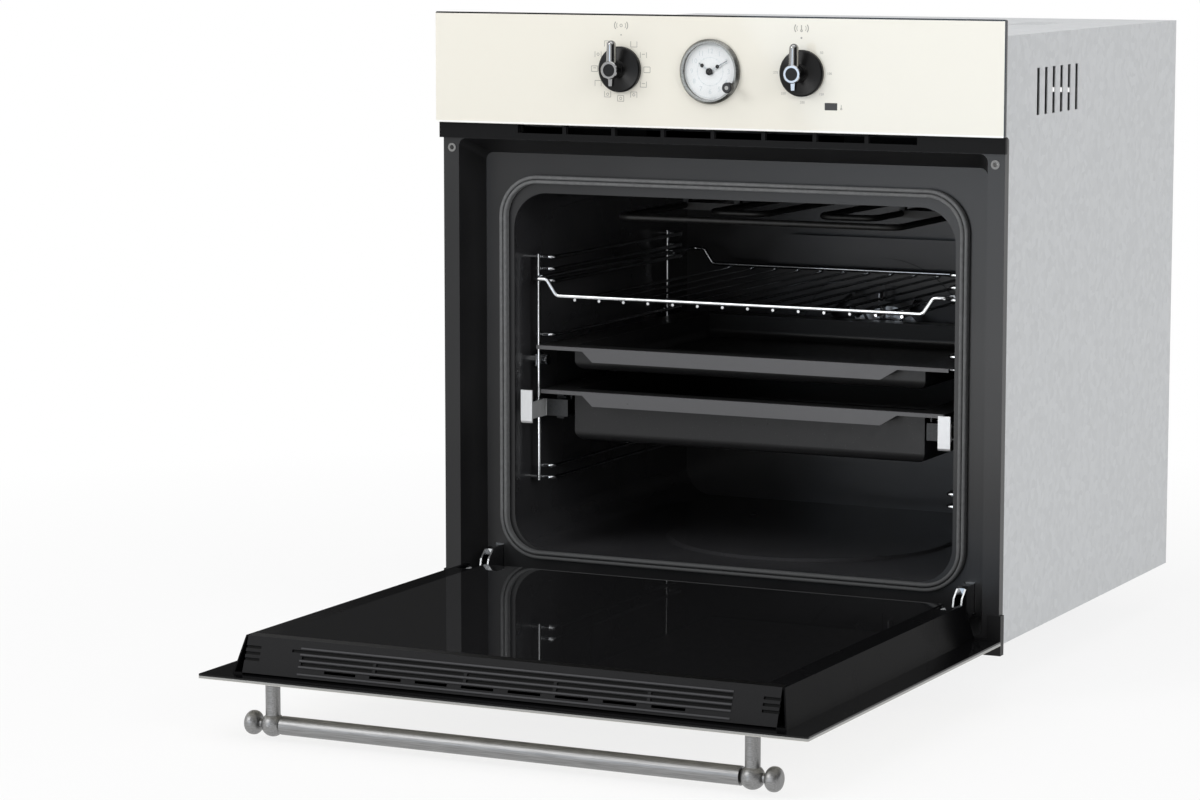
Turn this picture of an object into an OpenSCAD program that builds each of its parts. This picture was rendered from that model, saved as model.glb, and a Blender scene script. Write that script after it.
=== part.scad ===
/* [Front] */
// Width of the control panel and of the door's outer glass
front_w = 595; // [590:1:600]
// Height of the whole front
front_h = 595; // [590:1:605]
// Height of the control panel glass
panel_h = 108.5; // [100:0.5:114]
// Thickness of the panel glass and of the outer door glass
glass_t = 4; // [3:0.5:5]
// Distance from the cabinet face to the front faces
face_d = 20; // [18:0.5:24]
// Slit between the control panel and the closed door
door_slit = 4; // [3:0.5:6]

/* [Front frame] */
// Distance from the panel's side edge to the enamelled front frame
frame_inset = 3; // [2.5:0.5:7]
// Depth of the frame's folded edge
flange_d = 10; // [8:0.5:11]
// Width of the frame's flat front edge at each side
flange_face = 17; // [15:0.5:20]
// Sheet thickness of the front frame
frame_t = 1.5; // [1:0.1:2]
// Height of the lower edge of the frame's opening
open_z0 = 17; // [15:0.5:19]
// Height of the frame's flat edge over its opening
open_top = 16; // [14.5:0.5:26]
// Depth of the recess that the door's box closes into
recess_d = 34.5; // [30:0.5:40]
// Slope of each side wall of the recess over its depth
side_slope = 12.5; // [8:0.5:15]
// Slope of the top wall of the recess over its depth
top_slope = 15.5; // [8:0.5:18]
// Slope of the bottom wall of the recess over its depth
bottom_slope = 11; // [8:0.5:13]
// Corner radius of the frame's opening
open_r = 8; // [5:0.5:12]
// Distance from the frame's side edge to its fixing screws
fix_inset = 9.5; // [8.5:0.5:11]
// Distance from the frame's top edge down to its fixing screws
fix_drop = 25.5; // [22:0.5:46]
// Diameter of a fixing screw's hole in its bush
fix_bore = 4.5; // [4:0.1:5]
// Diameter of a bush behind its head
bush_d = 7.6; // [6.5:0.1:8.4]
// Diameter of a bush's head
bush_head_d = 8.6; // [8.5:0.1:10]

/* [Cavity] */
// Distance from the recess's side wall to the cavity's
cavity_side = 27; // [25:0.5:30]
// Height of the cavity floor
cavity_z0 = 55; // [53:0.5:57]
// Distance from the recess's top wall down to the cavity's ceiling
cavity_top = 35; // [30:0.5:37]
// Distance from the cabinet face to the cavity's back wall
cavity_y1 = 442; // [430:1:450]
// Corner radius of the cavity
cavity_r = 30; // [20:1:36]
// Sheet thickness of the cavity
cavity_t = 1.5; // [1:0.1:2]
// Step from the cavity's sides and ceiling in to its mouth
mouth_lip = 4; // [3:0.5:8]
// Step from the cavity's floor up to its mouth
mouth_sill = 2.5; // [2:0.1:5]
// Corner radius of the mouth
mouth_r = 36; // [30:1:42]
// Radius of the round pressing in the floor
pressing_r = 150; // [120:1:170]
// Height of the round pressing in the floor
pressing_h = 2; // [1:0.1:3]

/* [Seal] */
// Distance from the mouth's side edge to the seal's outer edge
seal_side = 14; // [12:0.5:16]
// Distance from the mouth's lower edge to the seal's
seal_low = 8.2; // [8:0.1:11]
// Distance from the mouth's upper edge to the seal's
seal_high = 17.6; // [14:0.1:22]
// Outer corner radius of the seal
seal_r = 42; // [36:1:48]
// Width of the seal's band
seal_band = 8; // [6:0.1:8.5]
// Thickness of the seal's flat foot
seal_foot = 3; // [2:0.1:4]
// Radius of each of the seal's two lips
lip_r = 1.8; // [1.2:0.1:2]
// Space between the recess flat and the closed door's inner face
seal_stand = 7; // [6.5:0.1:8]
// Gap between the seal's lips and the closed door
seal_gap = 0.3; // [0.2:0.1:0.5]

/* [Door] */
// Height of the hinge axis
hinge_z = 20.5; // [19:0.5:22]
// Rise of the outer glass's lower edge over the hinge axis
glass_rise = 1; // [0.8:0.1:1.5]
// Side clearance of the door's box at the frame's opening
box_side_front = 6.5; // [5:0.5:9]
// Side clearance of the door's box at the recess flat
box_side_back = 1; // [0.8:0.1:2]
// Top clearance of the door's box at the frame's opening
box_top_front = 4.5; // [3.5:0.5:6]
// Top clearance of the door's box at the recess flat
box_top_back = 1.5; // [1.2:0.1:3]
// Bottom clearance of the door's box at the recess flat
box_bottom_back = 6; // [5:0.5:8]
// Sheet thickness of the door's profiles
profile_t = 1.5; // [1.2:0.1:1.8]
// Width of the side profiles' inner strip
strip_w = 21; // [20.5:0.5:23]
// Height of the vent moulding's face beside the inner glass
moulding_lip = 13.5; // [11:0.5:16]
// Wall of the vent moulding
moulding_t = 3; // [2.5:0.1:4]
// Distance between the grooves of the vent moulding
groove_pitch = 5.6; // [5.2:0.1:5.8]
// Height of a groove of the vent moulding
groove_h = 2.6; // [2:0.1:3]
// Depth of a closed groove of the vent moulding
groove_depth = 1.5; // [1:0.1:2]
// Thickness of the middle glass
middle_t = 4; // [3:0.5:5]

/* [Handle] */
// Distance between the handle's posts
post_spacing = 471; // [440:1:480]
// Distance from the door's top edge down to the handle
handle_drop = 27; // [24:0.5:42]
// Distance from the door's face to the axis of the bar
handle_reach = 41.5; // [36:0.5:50]
// Diameter of the bar
bar_d = 17; // [14:0.5:18]
// Diameter of the posts
post_d = 13.5; // [11:0.5:15]
// Diameter of the ball knuckles
ball_d = 22; // [21:0.5:24]
// Diameter of the end knobs
end_knob_d = 22; // [18:0.5:24]
// Width of the end knobs along the bar
end_knob_w = 14; // [12:0.5:16]
// Distance from a post to the middle of its end knob
end_knob_x = 20; // [19:0.5:24]
// Diameter of the necks between the knuckles and the end knobs
neck_d = 8; // [6:0.5:9]

/* [Hinges] */
// Distance from the frame's side edge to a hinge
hinge_inset = 42.5; // [41.5:0.5:44.5]
// Outer width of a hinge arm
arm_w = 9.8; // [9:0.1:10]
// Height of a hinge arm where it leaves the recess
arm_h = 28; // [26:0.5:29]
// Sheet thickness of the hinge arms
arm_t = 1.6; // [1.4:0.1:1.8]
// Gap at each side of an arm in its channel and its receiver
arm_gap = 0.5; // [0.3:0.1:0.6]
// Height of an arm's lower edge in the recess flat
arm_z0 = 32.5; // [32:0.5:34]
// Radius of the arm's round end
arm_r = 5.5; // [5:0.1:5.6]
// Diameter of the hinge pins
pin_d = 6; // [5:0.1:6.4]
// Running clearance round a hinge pin
pin_gap = 0.05; // [0.02:0.01:0.08]
// Height of the top of the hinge channels on the closed door
channel_z1 = 170; // [150:1:200]
// Sheet thickness of the hinge channels
channel_t = 1.5; // [1.2:0.1:1.8]
// Diameter of a hinge spring
spring_d = 9; // [7:0.5:10]
// Length of a hinge receiver behind the recess flat
receiver_l = 75; // [60:1:90]

/* [Control panel] */
// Distance between the axes of the two knobs
knob_spacing = 190; // [180:1:200]
// Height of the knobs' axes over the panel's lower edge
knob_rise = 55.5; // [51:0.5:60]
// Diameter of a knob's round base
knob_d = 44; // [40:0.5:48]
// Thickness of a knob's round base
knob_base_t = 5; // [3:0.5:7]
// Distance from the panel's face to the front of a knob's ring
knob_l = 26.5; // [24:0.5:30]
// Outer diameter of a knob's ring
ring_d = 17.5; // [15:0.5:19]
// Diameter of the sunk cap in a knob's ring
cap_d = 12; // [9:0.5:13]
// Width of a knob's lever at its root
lever_w = 10; // [8:0.5:11]
// Distance from the knob's axis to the tip of its lever
lever_l = 28.5; // [24:0.5:32]
// Distance from the knob's axis to the tail of its lever
tail_l = 15.3; // [12:0.5:18]
// Diameter of a knob's shaft
shaft_d = 6; // [5:0.1:7]
// Running clearance of shafts and arbors
run_gap = 0.05; // [0.02:0.01:0.08]
// Gap between a turning knob and the panel
knob_gap = 0.5; // [0.3:0.1:1]
// Height of the clock's centre over the panel's lower edge
clock_rise = 55.2; // [51:0.1:60]
// Diameter of the clock's bezel
clock_d = 62; // [58:0.5:66]
// Width of the clock's bezel
bezel_w = 4; // [3.5:0.1:4.5]
// Depth of the clock's bezel in front of the panel
bezel_l = 5.5; // [5.5:0.1:7]
// Depth of the clock's works behind the panel's face
works_l = 28; // [24:1:34]
// Length of the clock's hour hand
hour_l = 14; // [10:0.5:16]
// Length of the clock's minute hand
minute_l = 21; // [18:0.5:23]
// Diameter of the clock's setting knob
set_knob_d = 10; // [8:0.5:12]
// Distance from the panel's face to the front of the setting knob
set_knob_l = 18; // [16:0.5:22]
// Distance of the lamp window's left edge from the middle
lamp_x = 118.1; // [116:0.1:122]
// Width of the lamp window
lamp_w = 12.3; // [10:0.1:14]
// Height of the lamp window over the panel's lower edge
lamp_rise = 21.5; // [17:0.5:24]
// Height of the lamp window
lamp_h = 6.4; // [5:0.1:8]
// Height of the black vent strip
strip_h = 15.5; // [14:0.5:17]
// Number of slots in the vent strip
slot_n = 8; // [6:1:10]
// Distance between the slots of the vent strip
slot_pitch = 52.8; // [48:0.1:56]
// Width of a bar between the slots
slot_bar = 4; // [3:0.1:6]
// Height of the slots of the vent strip
slot_h = 8.5; // [7:0.1:9]

/* [Shelf positions] */
// Diameter of the racks' wire
rack_wire = 4; // [3.5:0.1:4.5]
// Distance of the racks' upright rods from the cavity's side wall
rod_side = 11; // [9:0.5:12]
// Distance of the racks' rails from the cavity's side wall
rail_side = 26; // [25:0.5:27]
// Distance from the cabinet face to the front rod
rod_y0 = 64; // [60:0.5:68]
// Distance from the cabinet face to the back rod
rod_y1 = 368; // [360:1:376]
// Height from the highest shelf level to the cavity's ceiling
top_space = 95.5; // [90:0.5:104]
// Height that the lowest level has under it beyond one step between levels
floor_space = 3.5; // [0:0.5:8]
// Distance between the two rails of a level
rail_gap = 12; // [11:0.5:13]
// Distance of the racks' nuts under the third level
nut_drop = 14; // [12:0.5:20]

/* [Shelf and trays] */
// Diameter of the wire shelf's frame
shelf_bar = 4.5; // [4:0.1:5]
// Diameter of the wire shelf's grid wires
shelf_wire = 3; // [2.5:0.1:3.5]
// Number of grid wires
grid_n = 14; // [10:1:14]
// Distance from the shelf's crank to the outermost grid wire
grid_edge = 20.8; // [10:0.1:30]
// Drop of the wire shelf's middle below its ends
shelf_drop = 16; // [12:0.5:18]
// Space between the wire shelf and the cavity's side wall
shelf_side = 16; // [16:0.5:18]
// Distance from the cabinet face to the shelf's front bar
shelf_y0 = 40; // [36:0.5:46]
// Distance from the cabinet face to the shelf's back bar
shelf_y1 = 416; // [405:1:420]
// Sheet thickness of the trays
tray_t = 1.2; // [1:0.1:1.5]
// Space between the shallow tray's rim and the cavity's side wall
shallow_side = 18; // [16:0.5:21]
// Depth of the shallow tray
shallow_h = 24; // [20:0.5:28]
// Space between the deep tray's rim and the cavity's side wall
deep_side = 22.5; // [22.2:0.1:24]
// Depth of the deep tray
deep_h = 51; // [45:0.5:54]
// Space between both trays' bodies and the cavity's side wall
tray_side_gap = 50; // [48:0.5:54]
// Distance from the cabinet face to the trays' front edge
tray_y0 = 45; // [42:0.5:50]
// Distance from the cabinet face to the trays' back edge
tray_y1 = 412; // [400:1:418]
// Width of the trays' front and back rims
tray_rim = 22; // [16:0.5:26]
// Height of the lip that hangs from a tray's front edge
tray_lip = 13; // [10:0.5:16]
// Gap of a shelf or tray over the rail that carries it
rest_gap = 0.15; // [0.1:0.05:0.3]
// Depth of each runner member's channel
runner_w = 7.7; // [7:0.1:8]
// Height of a runner's fixed rail
runner_h = 24; // [20:0.5:25]
// Sheet thickness of the runners
runner_t = 1.5; // [1.2:0.1:1.6]
// Gap between two runner members
runner_gap = 0.3; // [0.25:0.05:0.4]
// Rise of the deep tray's rim over its runners' fixed rails
deep_rise = 6.4; // [5:0.1:8]
// Height of a runner's front end plate
end_plate_h = 33; // [28:0.5:34]
// Width of a runner's front end plate
end_plate_w = 12.5; // [10:0.5:13]

/* [Heating and air] */
// Half width of the fan cover
cover_x = 134; // [125:1:150]
// Height of the fan cover
cover_h = 242; // [225:1:250]
// Depth of the fan cover in front of the back wall
cover_d = 15; // [14:0.5:20]
// Distance of the convection fan's axis under the middle of the cavity
fan_drop = 11.5; // [6:0.5:16]
// Radius of the fan cover's intake opening
intake_r = 72; // [65:1:80]
// Radius of the ring pressed round the intake
intake_ring_r = 100; // [95:1:105]
// Radius of the convection fan
fan_r = 66; // [60:1:72]
// Number of blades of the convection fan
blade_n = 10; // [8:1:12]
// Radius of the ring element
element_ring_r = 86; // [82:1:92]
// Diameter of the heating elements' tube
tube_d = 6.5; // [6:0.1:7]
// Radius of the cooling fan's rotor
rotor_r = 30; // [26:1:32]
// Length of the cooling fan's rotor
rotor_l = 200; // [160:5:220]
// Distance from the cabinet face to the rotor's axis
rotor_y = 240; // [220:5:280]

/* [Casing] */
// Distance from the panel's side edge to the casing that goes into the niche
case_inset = 19.5; // [17.5:0.5:21.5]
// Distance from the panel's top edge down to the casing's
case_drop = 17; // [13:1:21]
// Depth of the casing behind the cabinet face
case_d = 548; // [530:1:560]
// Sheet thickness of the casing
case_t = 1; // [0.8:0.1:1.2]
// Thickness of the insulation
wool_t = 24; // [18:1:25]

/* [Hidden] */
$fn = 64;
// A cut runs this far past the surface that it goes through
over = 1;
// Overlap of two wires or pressings where they join
weld = 0.4;
// Gap that keeps two pieces of the same body just apart
apart = 0.3;
// Number of shelf levels
level_n = 4;

front_y = -face_d;
glass_y = -face_d + glass_t;
flange_y = -flange_d;
panel_z0 = front_h - panel_h;
frame_w = front_w - 2 * frame_inset;
frame_h = panel_z0;
fix_x = frame_w / 2 - fix_inset;
fix_z = frame_h - fix_drop;
open_z1 = frame_h - open_top;
open_w = frame_w - 2 * flange_face;
flat_y = recess_d - flange_d;
recess_w = open_w - 2 * side_slope;
recess_z0 = open_z0 + bottom_slope;
recess_z1 = open_z1 - top_slope;
band_y = flat_y + frame_t;
cavity_w = recess_w - 2 * cavity_side;
cavity_z1 = recess_z1 - cavity_top;
cavity_x = cavity_w / 2;
mouth_w = cavity_w - 2 * mouth_lip;
mouth_z0 = cavity_z0 + mouth_sill;
mouth_z1 = cavity_z1 - mouth_lip;
seal_w = mouth_w + 2 * seal_side;
seal_z0 = mouth_z0 - seal_low;
seal_z1 = mouth_z1 + seal_high;

hinge_y = flange_y;
hinge_x = frame_w / 2 - hinge_inset;
door_z0 = hinge_z + glass_rise;
door_z1 = panel_z0 - door_slit;
inner_y = flat_y - seal_stand;
box_front_x = open_w / 2 - box_side_front;
box_back_x = recess_w / 2 - box_side_back;
box_front_z1 = open_z1 - box_top_front;
box_back_z1 = recess_z1 - box_top_back;
box_front_z0 = door_z0 + apart;
box_back_z0 = recess_z0 + box_bottom_back;
inner_x = box_back_x - strip_w;
inner_z1 = box_back_z1 - moulding_lip;
moulding_x = box_back_x - profile_t - 1;
box_top_angle = atan((box_front_z1 - box_back_z1) / (inner_y - glass_y));

arm_slot = arm_w + 2 * 0.3;
channel_w = arm_w + 2 * arm_gap + 2 * channel_t;
channel_y0 = glass_y + apart;
channel_y1 = inner_y - 3.5;
web_z0 = hinge_z + arm_r + 4;

handle_y = front_y - handle_reach;
handle_z = door_z1 - handle_drop;
post_x = post_spacing / 2;

knob_x = knob_spacing / 2;
knob_z = panel_z0 + knob_rise;
clock_z = panel_z0 + clock_rise;
lamp_z = panel_z0 + lamp_rise;
clock_r = clock_d / 2;
case_r = clock_r - 1;
dial_r = clock_r - bezel_w;
dial_y = front_y - 0.8;
clock_glass_t = 1;
clock_glass_y = front_y - bezel_l + 0.3;
stem_r = 1.2;
stem_x = (case_r + dial_r) / 2 * cos(30);
stem_z = clock_z - (case_r + dial_r) / 2 * sin(30);

rack_r = rack_wire / 2;
bar_r = shelf_bar / 2;
rod_x = cavity_x - rod_side;
rail_x = cavity_x - rail_side;
level_pitch = (cavity_z1 - cavity_z0 - top_space - floor_space) / level_n;
level_z = [for (i = [1 : level_n]) cavity_z0 + floor_space + i * level_pitch];
nut_z = level_z[2] - nut_drop;
shelf_x = cavity_x - shelf_side;
shallow_rim_x = cavity_x - shallow_side;
deep_rim_x = cavity_x - deep_side;
tray_x = cavity_x - tray_side_gap;
rail_y0 = rod_y0 + rack_wire - weld;
rail_y1 = rod_y1 + rack_wire - weld;
nut_y = rail_y0 + 5.6;
shelf_z = level_z[3] + rack_r + bar_r + rest_gap;
shallow_z = level_z[2] + rack_r + rest_gap;
runner_x1 = rail_x - rack_r - rest_gap;
runner_z = level_z[1] + rail_gap / 2;
deep_z = runner_z + runner_h / 2 + deep_rise;
inner_member_x0 = tray_x + tray_t + 3.5;
runner_y0 = rod_y0 + 6;
runner_y1 = rod_y1 + 2;
end_plate_x0 = deep_rim_x + 1;
end_plate_y = tray_y0 - 17;

cover_y = cavity_y1 - cover_d;
fan_z = (cavity_z0 + cavity_z1) / 2 - fan_drop;
cover_z0 = fan_z - cover_h / 2;
cover_z1 = fan_z + cover_h / 2;
case_x = front_w / 2 - case_inset;
case_h = front_h - case_drop;
terminal_z = case_h - 68;
wool_x = cavity_x + cavity_t + apart;
wool_z0 = cavity_z0 - cavity_t - tube_d - 2 * apart - 17;
wool_z1 = cavity_z1 + cavity_t + apart + wool_t;
wool_y1 = cavity_y1 + cavity_t + apart + wool_t;
duct_z0 = wool_z1 + 24;
duct_h = 14;
duct_x = slot_n * slot_pitch / 2;
rotor_z = duct_z0 + rotor_r + 5.6;
rotor_shaft_r = 3;
leg_x = 48;
leg_r = 5;
ring_gap = 15;
ring_run = 9;
ring_exit = [
  element_ring_r * sin(ring_gap) - ring_run * cos(ring_gap),
  -element_ring_r * cos(ring_gap) - ring_run * sin(ring_gap)
];
lamp_y = 330;
lamp_cz = cavity_z1 - 58;
lamp_hole_r = 24;
sensor_y = 300;
sensor_x = cavity_x - 38;

// Rounded rectangle, centred, made of squares and true circles
module rounded(w, h, r) {
  square([w - 2 * r, h], center = true);
  square([w, h - 2 * r], center = true);
  for (sx = [-1, 1])
    for (sz = [-1, 1])
      translate([sx * (w / 2 - r), sz * (h / 2 - r)])
        circle(r);
}

// Rounded rectangle from its width, its two heights and its corner radius
module rounded_z(w, z0, z1, r) {
  translate([0, (z0 + z1) / 2])
    rounded(w, z1 - z0, r);
}

// Plate that faces the front, from a drawing in X and Z
module facing(y0, y1) {
  translate([0, y1, 0])
    rotate([90, 0, 0])
      linear_extrude(y1 - y0)
        children();
}

// Bar that runs left to right, from a drawing in Y and Z
module crosswise(x0, x1) {
  translate([x0, 0, 0])
    rotate([90, 0, 90])
      linear_extrude(x1 - x0)
        children();
}

// Block from its limits along X, Y and Z
module block(x, y, z) {
  translate([x[0], y[0], z[0]])
    cube([x[1] - x[0], y[1] - y[0], z[1] - z[0]]);
}

// Round bar or hole along Y
module pin_y(x, z, y0, y1, r) {
  translate([x, y1, z])
    rotate([90, 0, 0])
      cylinder(h = y1 - y0, r = r);
}

// Round bar or hole along X
module pin_x(y, z, x0, x1, r) {
  translate([x0, y, z])
    rotate([0, 90, 0])
      cylinder(h = x1 - x0, r = r);
}

// The same shape at the right and, mirrored, at the left
module both_sides() {
  children();
  mirror([1, 0, 0])
    children();
}

// Straight round wire between two points
module rod(a, b, r) {
  v = b - a;
  l = norm(v);
  translate(a)
    rotate([0, acos(v[2] / l), atan2(v[1], v[0])])
      cylinder(h = l, r = r);
}

function unit(v) = v / norm(v);

// Wire through a list of points, with a round bend at each inner one.
// A bend is a hair thicker than the rods, and a rod's end is tucked into it.
module bent_wire(points, r, bend) {
  tuck = 0.4;
  swell = 0.03;
  n = len(points);
  way = [for (i = [0 : n - 2]) unit(points[i + 1] - points[i])];
  turn = [for (i = [0 : n - 3]) acos(way[i] * way[i + 1])];
  cut = concat([0], [for (t = turn) bend * tan(t / 2) - tuck], [0]);
  for (i = [0 : n - 2])
    rod(points[i] + way[i] * cut[i], points[i + 1] - way[i] * cut[i + 1], r);
  for (i = [0 : n - 3]) {
    u = way[i];
    inward = unit(way[i + 1] - u * (u * way[i + 1]));
    centre = points[i + 1] - u * (cut[i + 1] + tuck) + inward * bend;
    side = -inward;
    normal = cross(side, u);
    multmatrix([
      [side[0], u[0], normal[0], centre[0]],
      [side[1], u[1], normal[1], centre[1]],
      [side[2], u[2], normal[2], centre[2]],
      [0, 0, 0, 1]
    ])
      rotate_extrude(angle = turn[i])
        translate([bend, 0])
          circle(r + swell);
  }
}

// The door is drawn closed, and this lays it open about the hinge axis
module laid_open() {
  translate([0, hinge_y, hinge_z])
    rotate([90, 0, 0])
      translate([0, -hinge_y, -hinge_z])
        children();
}

// Half width of the door's box at a depth y
function box_x(y) = box_front_x + (box_back_x - box_front_x) * (y - glass_y) / (inner_y - glass_y);

// Height of the top of the door's box at a depth y
function box_top(y) = box_front_z1 + (box_back_z1 - box_front_z1) * (y - glass_y) / (inner_y - glass_y);

// Height of the bottom of the door's box at a depth y
function box_bottom(y) = box_front_z0 + (box_back_z0 - box_front_z0) * (y - glass_y) / (inner_y - glass_y);

// One end of the sloping recess: a thin slice of its rounded outline
module recess_slice(y, w, z0, z1, grow) {
  facing(y, y + 0.01)
    rounded_z(w + 2 * grow, z0 - grow, z1 + grow, open_r + grow, $fn = 32);
}

// The sloping walls of the recess, grown outward by a thickness
module recess_body(grow, y0, y1) {
  hull() {
    recess_slice(y0, open_w, open_z0, open_z1, grow);
    recess_slice(y1 - 0.01, recess_w, recess_z0, recess_z1, grow);
  }
}

// Outline of the cavity's mouth
module mouth() {
  rounded_z(mouth_w, mouth_z0, mouth_z1, mouth_r);
}

// Slots that let the cooling air out between panel and door
module air_slots(grow) {
  for (i = [0 : slot_n - 1])
    translate([(i - (slot_n - 1) / 2) * slot_pitch, door_z1 - 0.8])
      square([slot_pitch - slot_bar + 2 * grow, slot_h + 2 * grow], center = true);
}

// Gaps in the frame's lower edge that the hinge channels turn in
module hinge_gaps(y0, y1) {
  both_sides()
    block([hinge_x - channel_w / 2 - 1.5, hinge_x + channel_w / 2 + 1.5], [y0, y1], [open_z0 - 4, open_z0 + 5]);
}

module front_frame() {
  color("dimgray")
    difference() {
      union() {
        facing(flange_y, flange_y + frame_t)
          difference() {
            rounded_z(frame_w, 0, frame_h, 4);
            rounded_z(open_w, open_z0, open_z1, open_r);
          }
        facing(flange_y + frame_t, 0)
          difference() {
            rounded_z(frame_w, 0, frame_h, 4);
            rounded_z(frame_w - 2 * frame_t, frame_t, frame_h - frame_t, 4 - frame_t);
          }
        difference() {
          recess_body(frame_t, flange_y, flat_y);
          recess_body(0, flange_y, flat_y);
        }
        facing(flat_y, band_y)
          difference() {
            rounded_z(recess_w + 2 * frame_t, recess_z0 - frame_t, recess_z1 + frame_t, open_r);
            mouth();
          }
      }
      facing(flange_y - over, flange_y + frame_t + over)
        air_slots(0.6);
      both_sides() {
        pin_y(fix_x, fix_z, flange_y - over, 0, bush_d / 2 + 0.1);
        block([hinge_x - arm_slot / 2, hinge_x + arm_slot / 2], [flat_y - over, band_y + over],
          [arm_z0 - 1, arm_z0 + arm_h + 1]);
      }
      hinge_gaps(flange_y - over, hinge_y + arm_r + 9);
    }
}

module fixing_bushes() {
  color("gainsboro")
    both_sides()
      difference() {
        union() {
          pin_y(fix_x, fix_z, flange_y, 0, bush_d / 2);
          pin_y(fix_x, fix_z, flange_y - 0.8, flange_y, bush_head_d / 2);
        }
        pin_y(fix_x, fix_z, flange_y - over - 1, over, fix_bore / 2);
      }
}

// Thin black strip under the door, with an end cap folded round each edge of the frame
module lower_trim() {
  cap_w = 13.5;
  cap_x = frame_w / 2 + 2;
  cap_h = 38;
  trim_t = 0.7;
  color("black")
    difference() {
      union() {
        facing(flange_y - trim_t, flange_y) {
          translate([-cap_x, 0])
            square([2 * cap_x, open_z0 - 0.5]);
          both_sides()
            translate([cap_x - cap_w, 0])
              square([cap_w, cap_h]);
        }
        both_sides()
          block([frame_w / 2 + 0.1, cap_x], [flange_y, -2], [0, cap_h]);
      }
      hinge_gaps(flange_y - over - 1, flange_y + over);
    }
}

module vent_strip() {
  strip_y = flange_y - 5;
  back_t = 1.5;
  color("black")
    difference() {
      facing(strip_y, flange_y)
        translate([-front_w / 2 + 1, panel_z0 - strip_h])
          square([front_w - 2, strip_h]);
      facing(strip_y - over, flange_y + over)
        air_slots(0);
      facing(strip_y + back_t, flange_y + over)
        translate([0, panel_z0 - strip_h / 2])
          square([slot_n * slot_pitch + 8, strip_h - 3], center = true);
    }
}

// Holes through the panel for the knobs' shafts, the clock and the lamp window
module panel_holes(y0, y1) {
  both_sides()
    pin_y(knob_x, knob_z, y0 - over, y1 + over, shaft_d / 2 + 1.5);
  pin_y(0, clock_z, y0 - over, y1 + over, case_r + 0.2);
  block([lamp_x - 0.2, lamp_x + lamp_w + 0.2], [y0 - over, y1 + over],
    [lamp_z - 0.2, lamp_z + lamp_h + 0.2]);
}

module control_panel_glass() {
  color("ivory")
    difference() {
      facing(front_y, glass_y)
        rounded_z(front_w, panel_z0, front_h, 2);
      panel_holes(front_y, glass_y);
    }
}

module panel_bracket() {
  bracket_t = 1.2;
  bracket_w = front_w - 12;
  z0 = panel_z0 + apart;
  z1 = front_h - 2;
  color("silver")
    difference() {
      union() {
        facing(glass_y, glass_y + bracket_t)
          rounded_z(bracket_w, z0, z1, 3);
        block([-bracket_w / 2, bracket_w / 2], [glass_y + bracket_t, 0], [z0, z0 + bracket_t]);
        block([-bracket_w / 2, bracket_w / 2], [glass_y + bracket_t, 0], [z1 - bracket_t, z1]);
        both_sides()
          block([bracket_w / 2 - bracket_t, bracket_w / 2], [glass_y + bracket_t, 0],
            [z0 + bracket_t, z1 - bracket_t]);
        both_sides()
          block([case_x - 14, bracket_w / 2 - bracket_t], [-bracket_t, 0],
            [z0 + bracket_t, z1 - bracket_t]);
      }
      panel_holes(glass_y, glass_y + bracket_t);
    }
}

// Switch or thermostat behind the panel, with the bore that the knob's shaft turns in
module control_body(x, w, h, l) {
  y0 = glass_y + 1.2;
  difference() {
    union() {
      block([x - w / 2, x + w / 2], [y0, y0 + l], [knob_z - h / 2, knob_z + h / 2]);
      block([x - w / 2 + 4, x + w / 2 - 4], [y0 + l, y0 + l + 5], [knob_z - h / 2 + 4, knob_z + h / 2 - 4]);
    }
    pin_y(x, knob_z, y0 - over, y0 + l / 2, shaft_d / 2 + run_gap);
    for (i = [-1, 1])
      block([x + i * w / 4 - 1, x + i * w / 4 + 1], [y0 + l + 2, y0 + l + 6], [knob_z - h, knob_z + h]);
  }
}

module selector_switch() {
  color("white")
    control_body(-knob_x, 42, 46, 30);
}

module thermostat_body() {
  color("silver")
    control_body(knob_x, 38, 34, 26);
}

// Sensor bulb under the ceiling and the thin tube that joins it to the thermostat
module thermostat_sensor() {
  y0 = glass_y + 1.2 + 26;
  bulb_r = 2.6;
  bulb_z = cavity_z1 - 6;
  color("peru")
    union() {
      bent_wire([
        [knob_x + 6, y0, knob_z + 15.5],
        [knob_x + 6, y0 + 16, knob_z + 15.5],
        [sensor_x, y0 + 16, knob_z + 15.5],
        [sensor_x, sensor_y, knob_z + 15.5],
        [sensor_x, sensor_y, bulb_z],
        [sensor_x, sensor_y - 20, bulb_z]
      ], 1, 4);
      rod([sensor_x, sensor_y - 20, bulb_z], [sensor_x, sensor_y - 110, bulb_z], bulb_r);
    }
}

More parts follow.
